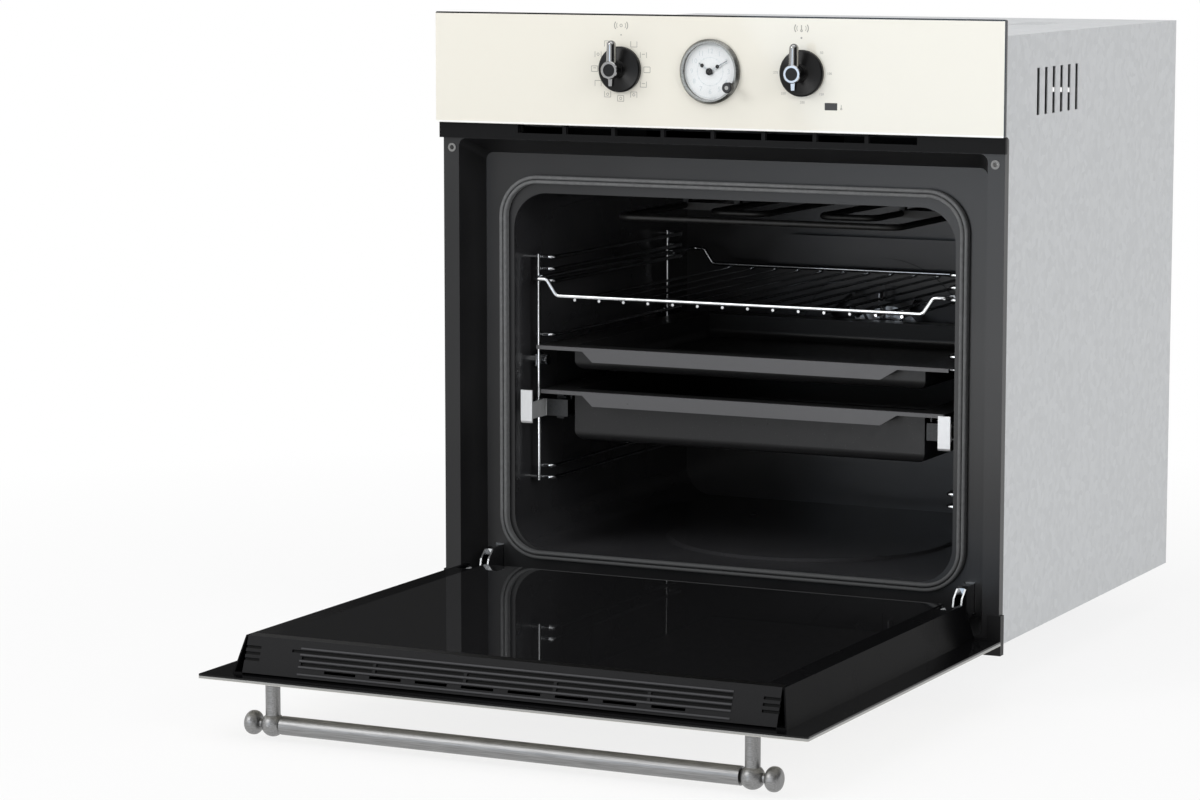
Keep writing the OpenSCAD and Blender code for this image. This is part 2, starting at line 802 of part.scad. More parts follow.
// Round base with its barrel, and on it a ring with a tapered lever, a short tail and a sunk cap
module lever_knob(x) {
  head_l = 11.5;
  ring_r = ring_d / 2;
  tip_r = lever_w / 2 - 0.6;
  ring_y = front_y - knob_l;
  arm_y = ring_y + head_l / 2;
  base_l = knob_l - knob_gap;
  translate([x, 0, knob_z]) {
    difference() {
      union() {
        translate([0, front_y - knob_gap, 0])
          rotate([90, 0, 0])
            rotate_extrude()
              polygon([[0, 0], [knob_d / 2, 0], [knob_d / 2, knob_base_t - 1.6],
                [knob_d / 2 - 1.2, knob_base_t - 0.6], [ring_r, knob_base_t + 2],
                [ring_r - 1.2, knob_base_t + 4], [ring_r - 1.2, base_l - head_l],
                [ring_r, base_l - head_l], [ring_r, base_l - 0.7], [ring_r - 0.7, base_l], [0, base_l]]);
        translate([0, arm_y, 0])
          cylinder(h = lever_l - tip_r, r1 = lever_w / 2, r2 = tip_r);
        translate([0, arm_y, lever_l - tip_r])
          sphere(tip_r);
        facing(arm_y - 2.5, arm_y + 2.5)
          polygon([[-2.6, 0], [2.6, 0], [1.7, -tail_l], [-1.7, -tail_l]]);
      }
      pin_y(0, 0, ring_y - over, ring_y + 0.5, cap_d / 2);
    }
    pin_y(0, 0, front_y - knob_gap, glass_y + 10, shaft_d / 2);
  }
}

module selector_knob() {
  color("darkgray")
    lever_knob(-knob_x);
}

module thermostat_knob() {
  color("darkgray")
    lever_knob(knob_x);
}

module clock_case() {
  works_y = front_y + works_l;
  color("dimgray")
    difference() {
      union() {
        pin_y(0, clock_z, front_y, works_y, case_r);
        translate([0, front_y, clock_z])
          rotate([90, 0, 0])
            rotate_extrude()
              polygon([[0, 0], [clock_r, 0], [clock_r, bezel_l - 2.5], [clock_r - 1.5, bezel_l - 0.6],
                [clock_r - 2.2, bezel_l], [0, bezel_l]]);
      }
      pin_y(0, clock_z, front_y - bezel_l - over, front_y, dial_r);
      pin_y(0, clock_z, front_y - over, front_y + 12, 1 + run_gap);
      pin_y(stem_x, stem_z, front_y - bezel_l - over, front_y + 8, stem_r + run_gap);
    }
}

module clock_dial() {
  color("white")
    difference() {
      pin_y(0, clock_z, dial_y, front_y, dial_r - 0.1);
      pin_y(0, clock_z, dial_y - over, front_y + over, 1.4);
    }
}

module clock_glass() {
  color("azure", 0.4)
    pin_y(0, clock_z, clock_glass_y, clock_glass_y + clock_glass_t, dial_r - 0.05);
}

// A hand that tapers from its hub to its tip, pointing at an angle from twelve o'clock
module hand(y0, y1, l, w, angle, hub_r) {
  facing(y0, y1)
    translate([0, clock_z])
      rotate(-angle) {
        circle(hub_r);
        polygon([[-w / 2, -4], [-w / 2, 0], [-w / 5, l], [w / 5, l], [w / 2, 0], [w / 2, -4]]);
      }
}

module clock_hour_hand() {
  hand_y = dial_y - 1.2;
  color("black")
    difference() {
      union() {
        hand(hand_y, hand_y + 0.6, hour_l, 2.2, 305, 2);
        pin_y(0, clock_z, hand_y + 0.6, front_y + 10, 1);
      }
      pin_y(0, clock_z, hand_y - over, front_y + 11, 0.5 + run_gap);
    }
}

module clock_minute_hand() {
  hand_y = dial_y - 2.3;
  color("black")
    union() {
      hand(hand_y, hand_y + 0.6, minute_l, 1.8, 60, 1.7);
      pin_y(0, clock_z, hand_y + 0.6, front_y + 10, 0.5);
    }
}

module clock_set_knob() {
  cap_y = front_y - set_knob_l;
  color("black")
    union() {
      translate([stem_x, cap_y, stem_z])
        rotate([-90, 0, 0])
          rotate_extrude()
            polygon([[0, 0], [set_knob_d / 2 - 0.8, 0], [set_knob_d / 2, 0.8], [set_knob_d / 2, 6],
              [set_knob_d / 2 - 1, 7], [0, 7]]);
      pin_y(stem_x, stem_z, cap_y + 7, front_y + 4, stem_r);
    }
}

module indicator_lamp() {
  color("orange")
    union() {
      block([lamp_x, lamp_x + lamp_w], [front_y - 0.3, glass_y + 1.2], [lamp_z, lamp_z + lamp_h]);
      block([lamp_x - 2, lamp_x + lamp_w + 2], [glass_y + 1.2, -4], [lamp_z - 2, lamp_z + lamp_h + 2]);
    }
}

module cavity_shell() {
  lip = 12;
  t2 = 2 * cavity_t;
  fan_hole_r = 6;
  color("#202124")
    difference() {
      union() {
        facing(band_y, cavity_y1 + cavity_t)
          rounded_z(cavity_w + t2, cavity_z0 - cavity_t, cavity_z1 + cavity_t, cavity_r + cavity_t);
        facing(band_y, band_y + cavity_t)
          rounded_z(cavity_w + 2 * lip, cavity_z0 - 8, cavity_z1 + lip, cavity_r + lip);
      }
      facing(band_y - over, cavity_y1)
        rounded_z(cavity_w, cavity_z0, cavity_z1, cavity_r);
      pin_y(0, fan_z, cavity_y1 - over, cavity_y1 + cavity_t + over, fan_hole_r);
      pin_x(lamp_y, lamp_cz, cavity_x - over, cavity_x + cavity_t + over, lamp_hole_r);
      both_sides() {
        pin_x(nut_y, nut_z, cavity_x - over, cavity_x + cavity_t + over, 3.1);
        for (end = [ring_exit + [0, fan_z], [30, cavity_z1 - 30]])
          pin_y(end[0], end[1], cavity_y1 - over, cavity_y1 + cavity_t + over, tube_d / 2 + 0.5);
      }
      translate([sensor_x, sensor_y, cavity_z1 - over])
        cylinder(h = cavity_t + 2 * over, r = 2);
    }
  color("#202124")
    translate([0, (band_y + cavity_y1) / 2, cavity_z0])
      rotate_extrude()
        polygon([[0, -weld], [pressing_r, -weld], [pressing_r, 0], [pressing_r - 6, pressing_h], [0, pressing_h]]);
}

// Seal profile swept round a rounded rectangle: a flat foot with two round lips
module seal_profile() {
  foot_y = flat_y - seal_foot;
  lip_y = inner_y + seal_gap + lip_r;
  translate([-seal_band, foot_y])
    square([seal_band, seal_foot]);
  for (x = [-lip_r, lip_r - seal_band])
    translate([x, lip_y])
      circle(lip_r);
  for (x = [-2 * lip_r, -seal_band])
    translate([x, lip_y])
      square([2 * lip_r, foot_y - lip_y + 0.5]);
}

module door_seal() {
  x1 = seal_w / 2 - seal_r;
  z1 = (seal_z1 - seal_z0) / 2 - seal_r;
  color("lightgray")
    translate([0, 0, (seal_z0 + seal_z1) / 2])
      union() {
        both_sides()
          translate([seal_w / 2, 0, -z1])
            linear_extrude(2 * z1)
              seal_profile();
        for (s = [0, 1])
          mirror([0, 0, s]) {
            translate([-x1, 0, z1 + seal_r])
              rotate([0, 90, 0])
                linear_extrude(2 * x1)
                  mirror([1, 0])
                    seal_profile();
            both_sides()
              translate([x1, 0, z1])
                rotate([-90, 0, 0])
                  rotate_extrude(angle = -90)
                    translate([seal_r, 0])
                      seal_profile();
          }
      }
}

// Baffle with its rolled intake ring and the ribs of its grille
module fan_cover() {
  sheet = 1.2;
  rib_n = 12;
  color("#2a2a2c")
    union() {
      facing(cover_y, cover_y + sheet)
        difference() {
          rounded_z(2 * cover_x, cover_z0, cover_z1, 28);
          translate([0, fan_z])
            circle(intake_r);
        }
      facing(cover_y + sheet, cavity_y1)
        difference() {
          rounded_z(2 * cover_x, cover_z0, cover_z1, 28);
          rounded_z(2 * cover_x - 2 * sheet, cover_z0 + sheet, cover_z1 - sheet, 28 - sheet);
          for (z = [cover_z0 + 50, cover_z1 - 50])
            translate([0, z])
              square([2 * cover_x + 10, 36], center = true);
        }
      facing(cover_y - 2, cover_y)
        translate([0, fan_z])
          difference() {
            circle(intake_ring_r);
            circle(intake_ring_r - 3);
          }
      facing(cover_y, cover_y + sheet)
        translate([0, fan_z]) {
          for (r = [18, 36, 54])
            difference() {
              circle(r);
              circle(r - 4);
            }
          for (i = [0 : rib_n - 1])
            rotate(i * 360 / rib_n)
              translate([12, -1.5])
                square([intake_r - 11, 3]);
        }
    }
}

// Disc with bent blades and a hub on the motor's shaft
module convection_fan() {
  fan_y0 = cover_y + 1.2 + 2;
  fan_y1 = cavity_y1 - 2;
  color("silver")
    translate([0, 0, fan_z])
      difference() {
        union() {
          pin_y(0, 0, fan_y1 - 1.2, fan_y1, fan_r * 0.72);
          pin_y(0, 0, fan_y0 + 1, fan_y1, 9);
          for (i = [0 : blade_n - 1])
            rotate([0, i * 360 / blade_n, 0])
              translate([fan_r * 0.35, 0, 0])
                rotate([0, 18, 0])
                  block([0, fan_r * 0.63], [fan_y0, fan_y1], [-0.6, 0.6]);
        }
        pin_y(0, 0, fan_y0 - over, fan_y1 + over, 4 + run_gap);
      }
}

module convection_motor() {
  motor_y0 = wool_y1 + 2;
  shaft_y0 = cover_y + 1.2 + 3;
  color("gray")
    union() {
      pin_y(0, fan_z, shaft_y0, motor_y0, 4);
      difference() {
        pin_y(0, fan_z, motor_y0, motor_y0 + 34, 34);
        pin_y(0, fan_z, motor_y0 + 30, motor_y0 + 35, 26);
      }
      facing(motor_y0, motor_y0 + 2)
        translate([0, fan_z])
          rounded(110, 40, 6);
      for (x = [-leg_x, leg_x])
        pin_y(x, fan_z, cavity_y1 + cavity_t, motor_y0, leg_r);
    }
}

// Ring element round the fan, with its two ends turned back through the wall
module ring_element() {
  ring_y = (cover_y + 1.2 + cavity_y1) / 2 + 0.3;
  tube_r = tube_d / 2;
  end = [element_ring_r * sin(ring_gap), 0, -element_ring_r * cos(ring_gap)];
  color("slategray")
    translate([0, ring_y, fan_z]) {
      difference() {
        rotate([90, 0, 0])
          rotate_extrude()
            translate([element_ring_r, 0])
              circle(tube_r);
        block([-end[0], end[0]], [-tube_d, tube_d], [-element_ring_r - tube_d, 0]);
      }
      both_sides() {
        translate(end)
          sphere(tube_r + 0.4);
        bent_wire([
          end,
          [ring_exit[0], 0, ring_exit[1]],
          [ring_exit[0], cavity_y1 + 26 - ring_y, ring_exit[1]]
        ], tube_r, tube_d);
      }
    }
}

// Grill element: a tube laid in loops under the ceiling
module grill_element() {
  tube_r = tube_d / 2;
  z = cavity_z1 - 30;
  y0 = band_y + 60;
  y1 = cavity_y1 - 70;
  color("slategray")
    union() {
      bent_wire([
        [-30, cavity_y1 + 26, z],
        [-30, y0 + 90, z],
        [-90, y0 + 90, z],
        [-90, y1, z],
        [-150, y1, z],
        [-150, y0, z],
        [150, y0, z],
        [150, y1, z],
        [90, y1, z],
        [90, y0 + 90, z],
        [30, y0 + 90, z],
        [30, cavity_y1 + 26, z]
      ], tube_r, 15);
      for (x = [-120, 120])
        difference() {
          block([x - 32, x + 32], [y0 + 160, y0 + 168], [z - tube_r - 1, cavity_z1]);
          block([x - 26, x + 26], [y0 + 159, y0 + 169], [z + tube_r, cavity_z1 - 1]);
        }
    }
}

// Bottom element in one wide loop under the cavity floor
module bottom_element() {
  tube_r = tube_d / 2;
  z = cavity_z0 - cavity_t - apart - tube_r;
  color("slategray")
    bent_wire([
      [-20, cavity_y1 + 20, z],
      [-20, 330, z],
      [-150, 330, z],
      [-150, 110, z],
      [150, 110, z],
      [150, 330, z],
      [20, 330, z],
      [20, cavity_y1 + 20, z]
    ], tube_r, 20);
}

module lamp_glass() {
  color("azure", 0.5)
    translate([cavity_x, lamp_y, lamp_cz])
      rotate([0, -90, 0])
        rotate_extrude()
          polygon([[0, 11], [14, 10], [24, 5], [27, 0], [24, 0], [22, 3], [13, 8], [0, 9]]);
}

module lamp_holder() {
  x1 = cavity_x + cavity_t;
  color("beige")
    difference() {
      union() {
        pin_x(lamp_y, lamp_cz, cavity_x, x1 + 16, lamp_hole_r - 0.4);
        pin_x(lamp_y, lamp_cz, x1 + 16, x1 + 24, 16);
        pin_x(lamp_y, lamp_cz, x1, x1 + 1.5, lamp_hole_r + 4);
      }
      pin_x(lamp_y, lamp_cz, cavity_x - over, x1 + 4, lamp_hole_r - 3);
      pin_x(lamp_y, lamp_cz, x1, x1 + 18, 7.2);
    }
}

module lamp_bulb() {
  color("white")
    translate([cavity_x + cavity_t + 14, lamp_y, lamp_cz])
      rotate([0, -90, 0])
        union() {
          translate([0, 0, -4])
            cylinder(h = 12, r = 7);
          cylinder(h = 14, r = 6);
          translate([0, 0, 14])
            sphere(6);
        }
}

// Rack of bent wire at the right: two rods, two rails per level and one more at the top
module side_rack() {
  top_rail = level_z[3] + 2 * rail_gap;
  heights = concat(level_z, [for (z = level_z) z + rail_gap], [top_rail]);
  plate_x = rod_x + rack_r - apart;
  difference() {
    union() {
      for (y = [rod_y0, rod_y1])
        rod([rod_x, y, level_z[0] - 3], [rod_x, y, top_rail + 3], rack_r);
      for (z = heights) {
        stub = z == level_z[0] || z == top_rail ? cavity_x : rod_x + 4;
        bent_wire([[stub, rail_y0, z], [rail_x, rail_y0, z], [rail_x, rail_y1, z], [stub, rail_y1, z]],
          rack_r, 5);
      }
      block([plate_x, plate_x + 1.5], [rod_y0 - 2, rail_y0 + 13], [nut_z - 6, nut_z + 6]);
    }
    pin_x(nut_y, nut_z, plate_x - over, plate_x + 1.5 + over, 3.1);
  }
}

module side_rack_right() {
  color("silver")
    side_rack();
}

module side_rack_left() {
  color("silver")
    mirror([1, 0, 0])
      side_rack();
}

// Knurled nut, collar and pin that hold each rack to the cavity wall
module rack_nuts() {
  plate_x = rod_x + rack_r - apart;
  knurl_n = 18;
  color("silver")
    both_sides() {
      difference() {
        pin_x(nut_y, nut_z, plate_x - 8, plate_x, 5.2);
        for (i = [0 : knurl_n - 1])
          translate([0, nut_y, nut_z])
            rotate([i * 360 / knurl_n, 0, 0])
              pin_x(0, 5.4, plate_x - 9, plate_x - 1.5, 0.45);
      }
      pin_x(nut_y, nut_z, plate_x, cavity_x + cavity_t + 3, 3);
      pin_x(nut_y, nut_z, plate_x + 1.5, cavity_x, 5);
    }
}

// Wire shelf: one frame wire round it, a grid under its middle, and two stays across.
// Front, back and stays are raised at both ends and cranked down in the middle.
module wire_shelf() {
  side_x = shelf_x - bar_r;
  low_z = shelf_z - shelf_drop;
  crank_x0 = rail_x - 6;
  crank_x1 = crank_x0 - 11;
  grid_x = crank_x1 - grid_edge;
  grid_z = low_z - bar_r - shelf_wire / 2 + weld;
  stay_r = shelf_wire / 2 + 0.2;
  stay_x = side_x - bar_r / 3;
  stay_drop = bar_r - stay_r;
  color("silver")
    union() {
      bent_wire([
        [0, shelf_y0, low_z],
        [crank_x1, shelf_y0, low_z],
        [crank_x0, shelf_y0, shelf_z],
        [side_x, shelf_y0, shelf_z],
        [side_x, shelf_y1, shelf_z],
        [crank_x0, shelf_y1, shelf_z],
        [crank_x1, shelf_y1, low_z],
        [-crank_x1, shelf_y1, low_z],
        [-crank_x0, shelf_y1, shelf_z],
        [-side_x, shelf_y1, shelf_z],
        [-side_x, shelf_y0, shelf_z],
        [-crank_x0, shelf_y0, shelf_z],
        [-crank_x1, shelf_y0, low_z],
        [1, shelf_y0, low_z]
      ], bar_r, 6);
      for (y = [shelf_y0 + 95, shelf_y1 - 95])
        bent_wire([
          [-stay_x, y, shelf_z - stay_drop],
          [-crank_x0, y, shelf_z - stay_drop],
          [-crank_x1, y, low_z - stay_drop],
          [crank_x1, y, low_z - stay_drop],
          [crank_x0, y, shelf_z - stay_drop],
          [stay_x, y, shelf_z - stay_drop]
        ], stay_r, 6);
      for (i = [0 : grid_n - 1])
        pin_y(grid_x * (2 * i / (grid_n - 1) - 1), grid_z, shelf_y0 - 1, shelf_y1 + 1, shelf_wire / 2);
    }
}

// Outline of a tray's side: straight wall down to a round bottom edge
module tray_side(half_x, h, r) {
  translate([-half_x, r - h])
    square([2 * half_x, h - r]);
  translate([r - half_x, -h])
    square([2 * (half_x - r), h]);
  for (s = [-1, 1])
    translate([s * (half_x - r), r - h])
      circle(r);
}

// Body of a tray, inside a wall of the outermost one
module tray_body(wall, h) {
  y0 = tray_y0 + tray_rim + wall;
  y1 = tray_y1 - tray_rim - wall;
  edge_r = 9.5 - wall;
  intersection() {
    translate([0, y1, 0])
      rotate([90, 0, 0])
        linear_extrude(y1 - y0)
          tray_side(tray_x - wall, h, edge_r);
    crosswise(-tray_x, tray_x)
      translate([(y0 + y1) / 2, 0])
        tray_side((y1 - y0) / 2, h, edge_r);
  }
}

// Sheet tray with a flat rim, round lower edges and a lip that hangs at the front
module tray(rim_x, h, rim_z) {
  lip_x = tray_x - 16;
  union() {
    translate([0, 0, rim_z])
      difference() {
        union() {
          block([-rim_x, rim_x], [tray_y0, tray_y1], [0, tray_t]);
          tray_body(0, h);
        }
        translate([0, 0, tray_t + over])
          tray_body(tray_t, h + over);
      }
    facing(tray_y0, tray_y0 + tray_t) {
      polygon([[-lip_x, rim_z], [-lip_x + 14, rim_z - tray_lip], [lip_x - 22, rim_z - tray_lip],
        [lip_x, rim_z]]);
      translate([-rim_x, rim_z - 2.5])
        square([2 * rim_x, 2.5]);
    }
  }
}

module shallow_tray() {
  color("#6a6a6c")
    tray(shallow_rim_x, shallow_h, shallow_z);
}

module deep_tray() {
  color("#6a6a6c")
    tray(deep_rim_x, deep_h, deep_z);
}

// Channel of a runner member, open toward the tray
module channel_rail(x0, x1, z0, z1, y0, y1) {
  block([x1 - runner_t, x1], [y0, y1], [z0, z1]);
  block([x0, x1], [y0, y1], [z0, z0 + runner_t]);
  block([x0, x1], [y0, y1], [z1 - runner_t, z1]);
}

// Limits of runner member i, counted from the rack inward
function member_x(i) = runner_x1 - i * (runner_t + runner_gap);
function member_z(i) = runner_h / 2 - i * (runner_t + runner_gap);

module runner_fixed_rails() {
  color("silver")
    both_sides()
      union() {
        channel_rail(member_x(0) - runner_w, member_x(0), runner_z - member_z(0), runner_z + member_z(0),
          runner_y0, runner_y1);
        for (y = [runner_y0 + 30, runner_y1 - 40])
          for (z = [level_z[1], level_z[1] + rail_gap])
            block([member_x(0), rail_x], [y, y + 8], [z + rack_r, z + rack_r + 1.2]);
      }
}

module runner_middle_members() {
  color("silver")
    both_sides()
      channel_rail(member_x(1) - runner_w - 1, member_x(1), runner_z - member_z(1), runner_z + member_z(1),
        runner_y0, runner_y1 - 6);
}

// Inner members: a channel, the ledge that carries the tray, and the end plate at the front
module runner_inner_members() {
  x0 = inner_member_x0;
  z0 = runner_z - member_z(2);
  z1 = runner_z + member_z(2);
  step_y = rod_y0 - 4;
  plate_z0 = deep_z + 2 - end_plate_h;
  color("gainsboro")
    both_sides()
      union() {
        channel_rail(x0, member_x(2), z0, z1, step_y, runner_y1 - 12);
        block([x0, x0 + runner_t], [runner_y0, runner_y1 - 12], [z1 - runner_t, deep_z]);
        block([x0, x0 + 14], [runner_y0, runner_y1 - 12], [deep_z - runner_t, deep_z]);
        block([x0, end_plate_x0 + runner_t], [step_y, step_y + runner_t], [z0, z1]);
        block([end_plate_x0, end_plate_x0 + runner_t], [end_plate_y, step_y + runner_t], [z0, z1]);
        crosswise(end_plate_x0, end_plate_x0 + end_plate_w)
          polygon([[end_plate_y, plate_z0 + 2], [end_plate_y, deep_z + 2], [end_plate_y + 2, deep_z + 2],
            [end_plate_y + 2, plate_z0], [end_plate_y + 1, plate_z0]]);
      }
}

module insulation_wrap() {
  wool_w = 2 * (wool_x + wool_t);
  receiver_gap = 3;
  color("khaki")
    difference() {
      block([-wool_w / 2, wool_w / 2], [band_y + cavity_t + 10, wool_y1], [wool_z0, wool_z1]);
      facing(band_y, cavity_y1 + cavity_t + apart)
        rounded_z(2 * wool_x, cavity_z0 - cavity_t - tube_d - 2 * apart, cavity_z1 + cavity_t + apart, 10);
      both_sides() {
        block([hinge_x - 12, wool_w / 2 + over], [0, band_y + receiver_l + receiver_gap],
          [wool_z0 - over, arm_z0 + arm_h + 12]);
        pin_x(nut_y, nut_z, cavity_x, cavity_x + 10, 8);
        pin_y(leg_x, fan_z, cavity_y1, wool_y1 + over, leg_r + 1);
        for (end = [ring_exit + [0, fan_z], [30, cavity_z1 - 30]])
          pin_y(end[0], end[1], cavity_y1, wool_y1 + over, tube_d);
      }
      pin_x(lamp_y, lamp_cz, cavity_x, wool_w, lamp_hole_r + 5);
      pin_y(0, fan_z, cavity_y1, wool_y1 + over, 12);
      translate([sensor_x, sensor_y, cavity_z1])
        cylinder(h = wool_t + 10, r = 4);
      block([-30, 30], [cavity_y1, wool_y1 + over], [wool_z0 + 10, cavity_z0 - cavity_t]);
    }
}

// Side sheets with their folded edges at the front, top and back
module side_casings() {
  fold = 12;
  z0 = case_t;
  z1 = case_h - case_t;
  color("silver")
    both_sides()
      difference() {
        union() {
          block([case_x - case_t, case_x], [0, case_d], [z0, z1]);
          block([case_x - case_t, frame_w / 2 - frame_t - apart], [-case_t, 0], [frame_t + 1, frame_h - 4]);
          block([case_x - fold, case_x], [case_d - case_t, case_d], [z0, z1]);
          block([case_x - fold, case_x], [0, case_d], [z1 - case_t, z1]);
        }
        pin_y(fix_x, fix_z, -case_t - over, over, bush_d / 2 + 0.3);
        for (i = [0 : 5])
          block([case_x - case_t - over, case_x + over], [120 + i * 22, 128 + i * 22],
            [terminal_z - 10, terminal_z + 35]);
      }
}

module top_casing() {
  color("silver")
    difference() {
      block([-case_x, case_x], [0, case_d], [case_h - case_t, case_h]);
      for (x = [-200, 160])
        for (i = [0 : 4])
          block([x, x + 40], [340 + i * 18, 346 + i * 18], [case_h - case_t - over, case_h + over]);
    }
}

// Back sheet with a raised box over the fan motor and rows of air slots
module back_cover() {
  box_x0 = 90;
  box_z0 = fan_z - 70;
  box_z1 = fan_z + 70;
  rise = 8;
  color("silver")
    difference() {
      union() {
        block([-case_x, case_x], [case_d, case_d + case_t], [0, case_h]);
        block([-box_x0, box_x0], [case_d, case_d + rise], [box_z0, box_z1]);
      }
      block([-box_x0 + case_t, box_x0 - case_t], [case_d - over, case_d + rise - case_t],
        [box_z0 + case_t, box_z1 - case_t]);
      for (i = [-4 : 4])
        block([i * 16 - 3, i * 16 + 3], [case_d, case_d + rise + over], [fan_z - 40, fan_z + 40]);
      for (i = [0 : 8])
        block([-180 + i * 40, -156 + i * 40], [case_d - over, case_d + case_t + over],
          [terminal_z - 10, terminal_z - 5]);
      block([-case_x + 30, -case_x + 110], [case_d - over, case_d + case_t + over],
        [terminal_z - 30, terminal_z + 30]);
    }
}

module base_plate() {
  color("silver")
    difference() {
      union() {
        block([-case_x, case_x], [0, case_d], [0, case_t]);
        both_sides()
          block([case_x - 2 * case_t, case_x - case_t], [0, case_d - case_t], [case_t, 14]);
      }
      for (x = [-180, 120])
        for (i = [0 : 5])
          block([x, x + 60], [330 + i * 16, 336 + i * 16], [-over, case_t + over]);
    }
}

// Scroll round the rotor and the flat duct that leads the air to the front
module cooling_fan_housing() {
  sheet = 1;
  half = rotor_l / 2 + 6;
  scroll_r = rotor_r + 5;
  duct_z1 = duct_z0 + duct_h;
  color("lightgray")
    difference() {
      union() {
        pin_x(rotor_y, rotor_z, -half, half, scroll_r + sheet);
        block([-half, half], [60, rotor_y], [duct_z0, duct_z1]);
        block([-duct_x, duct_x], [case_t, 60], [duct_z0, duct_z1]);
        block([-case_x + case_t, case_x - case_t], [55, 290], [duct_z0 - sheet, duct_z0]);
      }
      pin_x(rotor_y, rotor_z, -half + sheet, half - sheet, scroll_r);
      pin_x(rotor_y, rotor_z, -half - over, half + over, rotor_shaft_r + run_gap);
      block([-half + sheet, half - sheet], [50, rotor_y], [duct_z0 + sheet, duct_z1 - sheet]);
      block([-duct_x + sheet, duct_x - sheet], [0, 60 - sheet], [duct_z0 + sheet, duct_z1 - sheet]);
      block([-half + 12, half - 12], [rotor_y + 4, rotor_y + 60], [rotor_z - 10, rotor_z + 18]);
    }
}

// Cross-flow rotor: end discs, blades and a shaft
module cooling_fan_rotor() {
  half = rotor_l / 2;
  vane_n = 16;
  color("dimgray")
    union() {
      for (x = [-half, -1, half - 2])
        pin_x(rotor_y, rotor_z, x, x + 2, rotor_r);
      for (i = [0 : vane_n - 1])
        translate([0, rotor_y, rotor_z])
          rotate([i * 360 / vane_n, 0, 0])
            block([-half, half], [rotor_r - 9, rotor_r - 1], [-0.6, 0.6]);
      pin_x(rotor_y, rotor_z, -half - 6, half + 20, rotor_shaft_r);
    }
}

module cooling_fan_motor() {
  x0 = rotor_l / 2 + 12;
  color("gray")
    difference() {
      union() {
        pin_x(rotor_y, rotor_z, x0, x0 + 34, 26);
        block([x0 + 4, x0 + 30], [rotor_y - 20, rotor_y + 20], [duct_z0, rotor_z]);
      }
      pin_x(rotor_y, rotor_z, x0 - over, x0 + 12, rotor_shaft_r + run_gap);
    }
}

module terminal_box() {
  x0 = -case_x + 34;
  x1 = -case_x + 106;
  color("black")
    difference() {
      union() {
        block([x0, x1], [case_d - 26, case_d + 4], [terminal_z - 26, terminal_z + 26]);
        block([x0 - 7, x1 + 7], [case_d + case_t, case_d + case_t + 2], [terminal_z - 33, terminal_z + 33]);
      }
      pin_y((x0 + x1) / 2, terminal_z, case_d - 10, case_d + 5, 8);
      for (i = [0 : 4])
        block([x0 + 9 + i * 12, x0 + 15 + i * 12], [case_d - 27, case_d - 20],
          [terminal_z + 5, terminal_z + 21]);
    }
}

// Side view of a hinge arm: round end on the axis, rising into the recess
module arm_outline() {
  end_y = band_y + receiver_l - 20;
  root_r = arm_r - 0.2;
  polygon([
    [hinge_y - root_r * cos(20), hinge_z + root_r * sin(20)],
    [hinge_y + 3, arm_z0 + arm_h - 10],
    [hinge_y + 12, arm_z0 + arm_h - 2],
    [hinge_y + 18, arm_z0 + arm_h],
    [end_y, arm_z0 + arm_h],
    [end_y, arm_z0],
    [flat_y - 6, arm_z0],
    [hinge_y + root_r * sin(25), hinge_z - root_r * cos(25)],
    [hinge_y, hinge_z]
  ]);
  translate([hinge_y, hinge_z])
    circle(arm_r);
}

module hinge_arms() {
  half = arm_w / 2;
  color("silver")
    both_sides()
      difference() {
        crosswise(hinge_x - half, hinge_x + half)
          arm_outline();
        difference() {
          block([hinge_x - half + arm_t, hinge_x + half - arm_t], [hinge_y - arm_r - over, flat_y + 60],
            [hinge_z - arm_r - over, arm_z0 + arm_h - arm_t]);
          block([hinge_x - half, hinge_x + half], [hinge_y + 14, hinge_y + 22],
            [arm_z0 + arm_h - 8, arm_z0 + arm_h]);
        }
        pin_x(hinge_y, hinge_z, hinge_x - half - over, hinge_x + half + over, pin_d / 2 + pin_gap);
      }
}

// Pocket behind the recess that holds the hinge arm
module hinge_receivers() {
  wall = 1.5;
  half = arm_w / 2 + arm_gap;
  z0 = arm_z0 - 0.2;
  z1 = arm_z0 + arm_h + 0.2;
  color("silver")
    both_sides()
      difference() {
        block([hinge_x - half - wall, hinge_x + half + wall], [band_y, band_y + receiver_l],
          [z0 - wall, z1 + wall]);
        block([hinge_x - half, hinge_x + half], [band_y - over, band_y + receiver_l - wall], [z0, z1]);
      }
}

// Side view of a hinge channel on the closed door
module channel_outline() {
  translate([hinge_y, hinge_z])
    circle(arm_r);
  polygon([
    [hinge_y - arm_r * cos(10), hinge_z + arm_r * sin(10)],
    [channel_y0, web_z0],
    [channel_y0, channel_z1],
    [channel_y1, channel_z1],
    [channel_y1, web_z0 + 6],
    [hinge_y + arm_r * cos(20), hinge_z - arm_r * sin(20)],
    [hinge_y, hinge_z]
  ]);
}

module hinge_channels() {
  half = channel_w / 2;
  color("silver")
    laid_open()
      both_sides()
        difference() {
          crosswise(hinge_x - half, hinge_x + half)
            channel_outline();
          block([hinge_x - half + channel_t, hinge_x + half - channel_t], [channel_y0 + channel_t, inner_y],
            [web_z0, channel_z1 - channel_t]);
          block([hinge_x - half + channel_t, hinge_x + half - channel_t], [channel_y0 - over, inner_y],
            [hinge_z - arm_r - over, web_z0]);
          pin_x(hinge_y, hinge_z, hinge_x - half - over, hinge_x + half + over, pin_d / 2 + 0.01);
        }
}

module hinge_pins() {
  half = channel_w / 2 + 0.8;
  color("silver")
    laid_open()
      both_sides()
        pin_x(hinge_y, hinge_z, hinge_x - half, hinge_x + half, pin_d / 2);
}

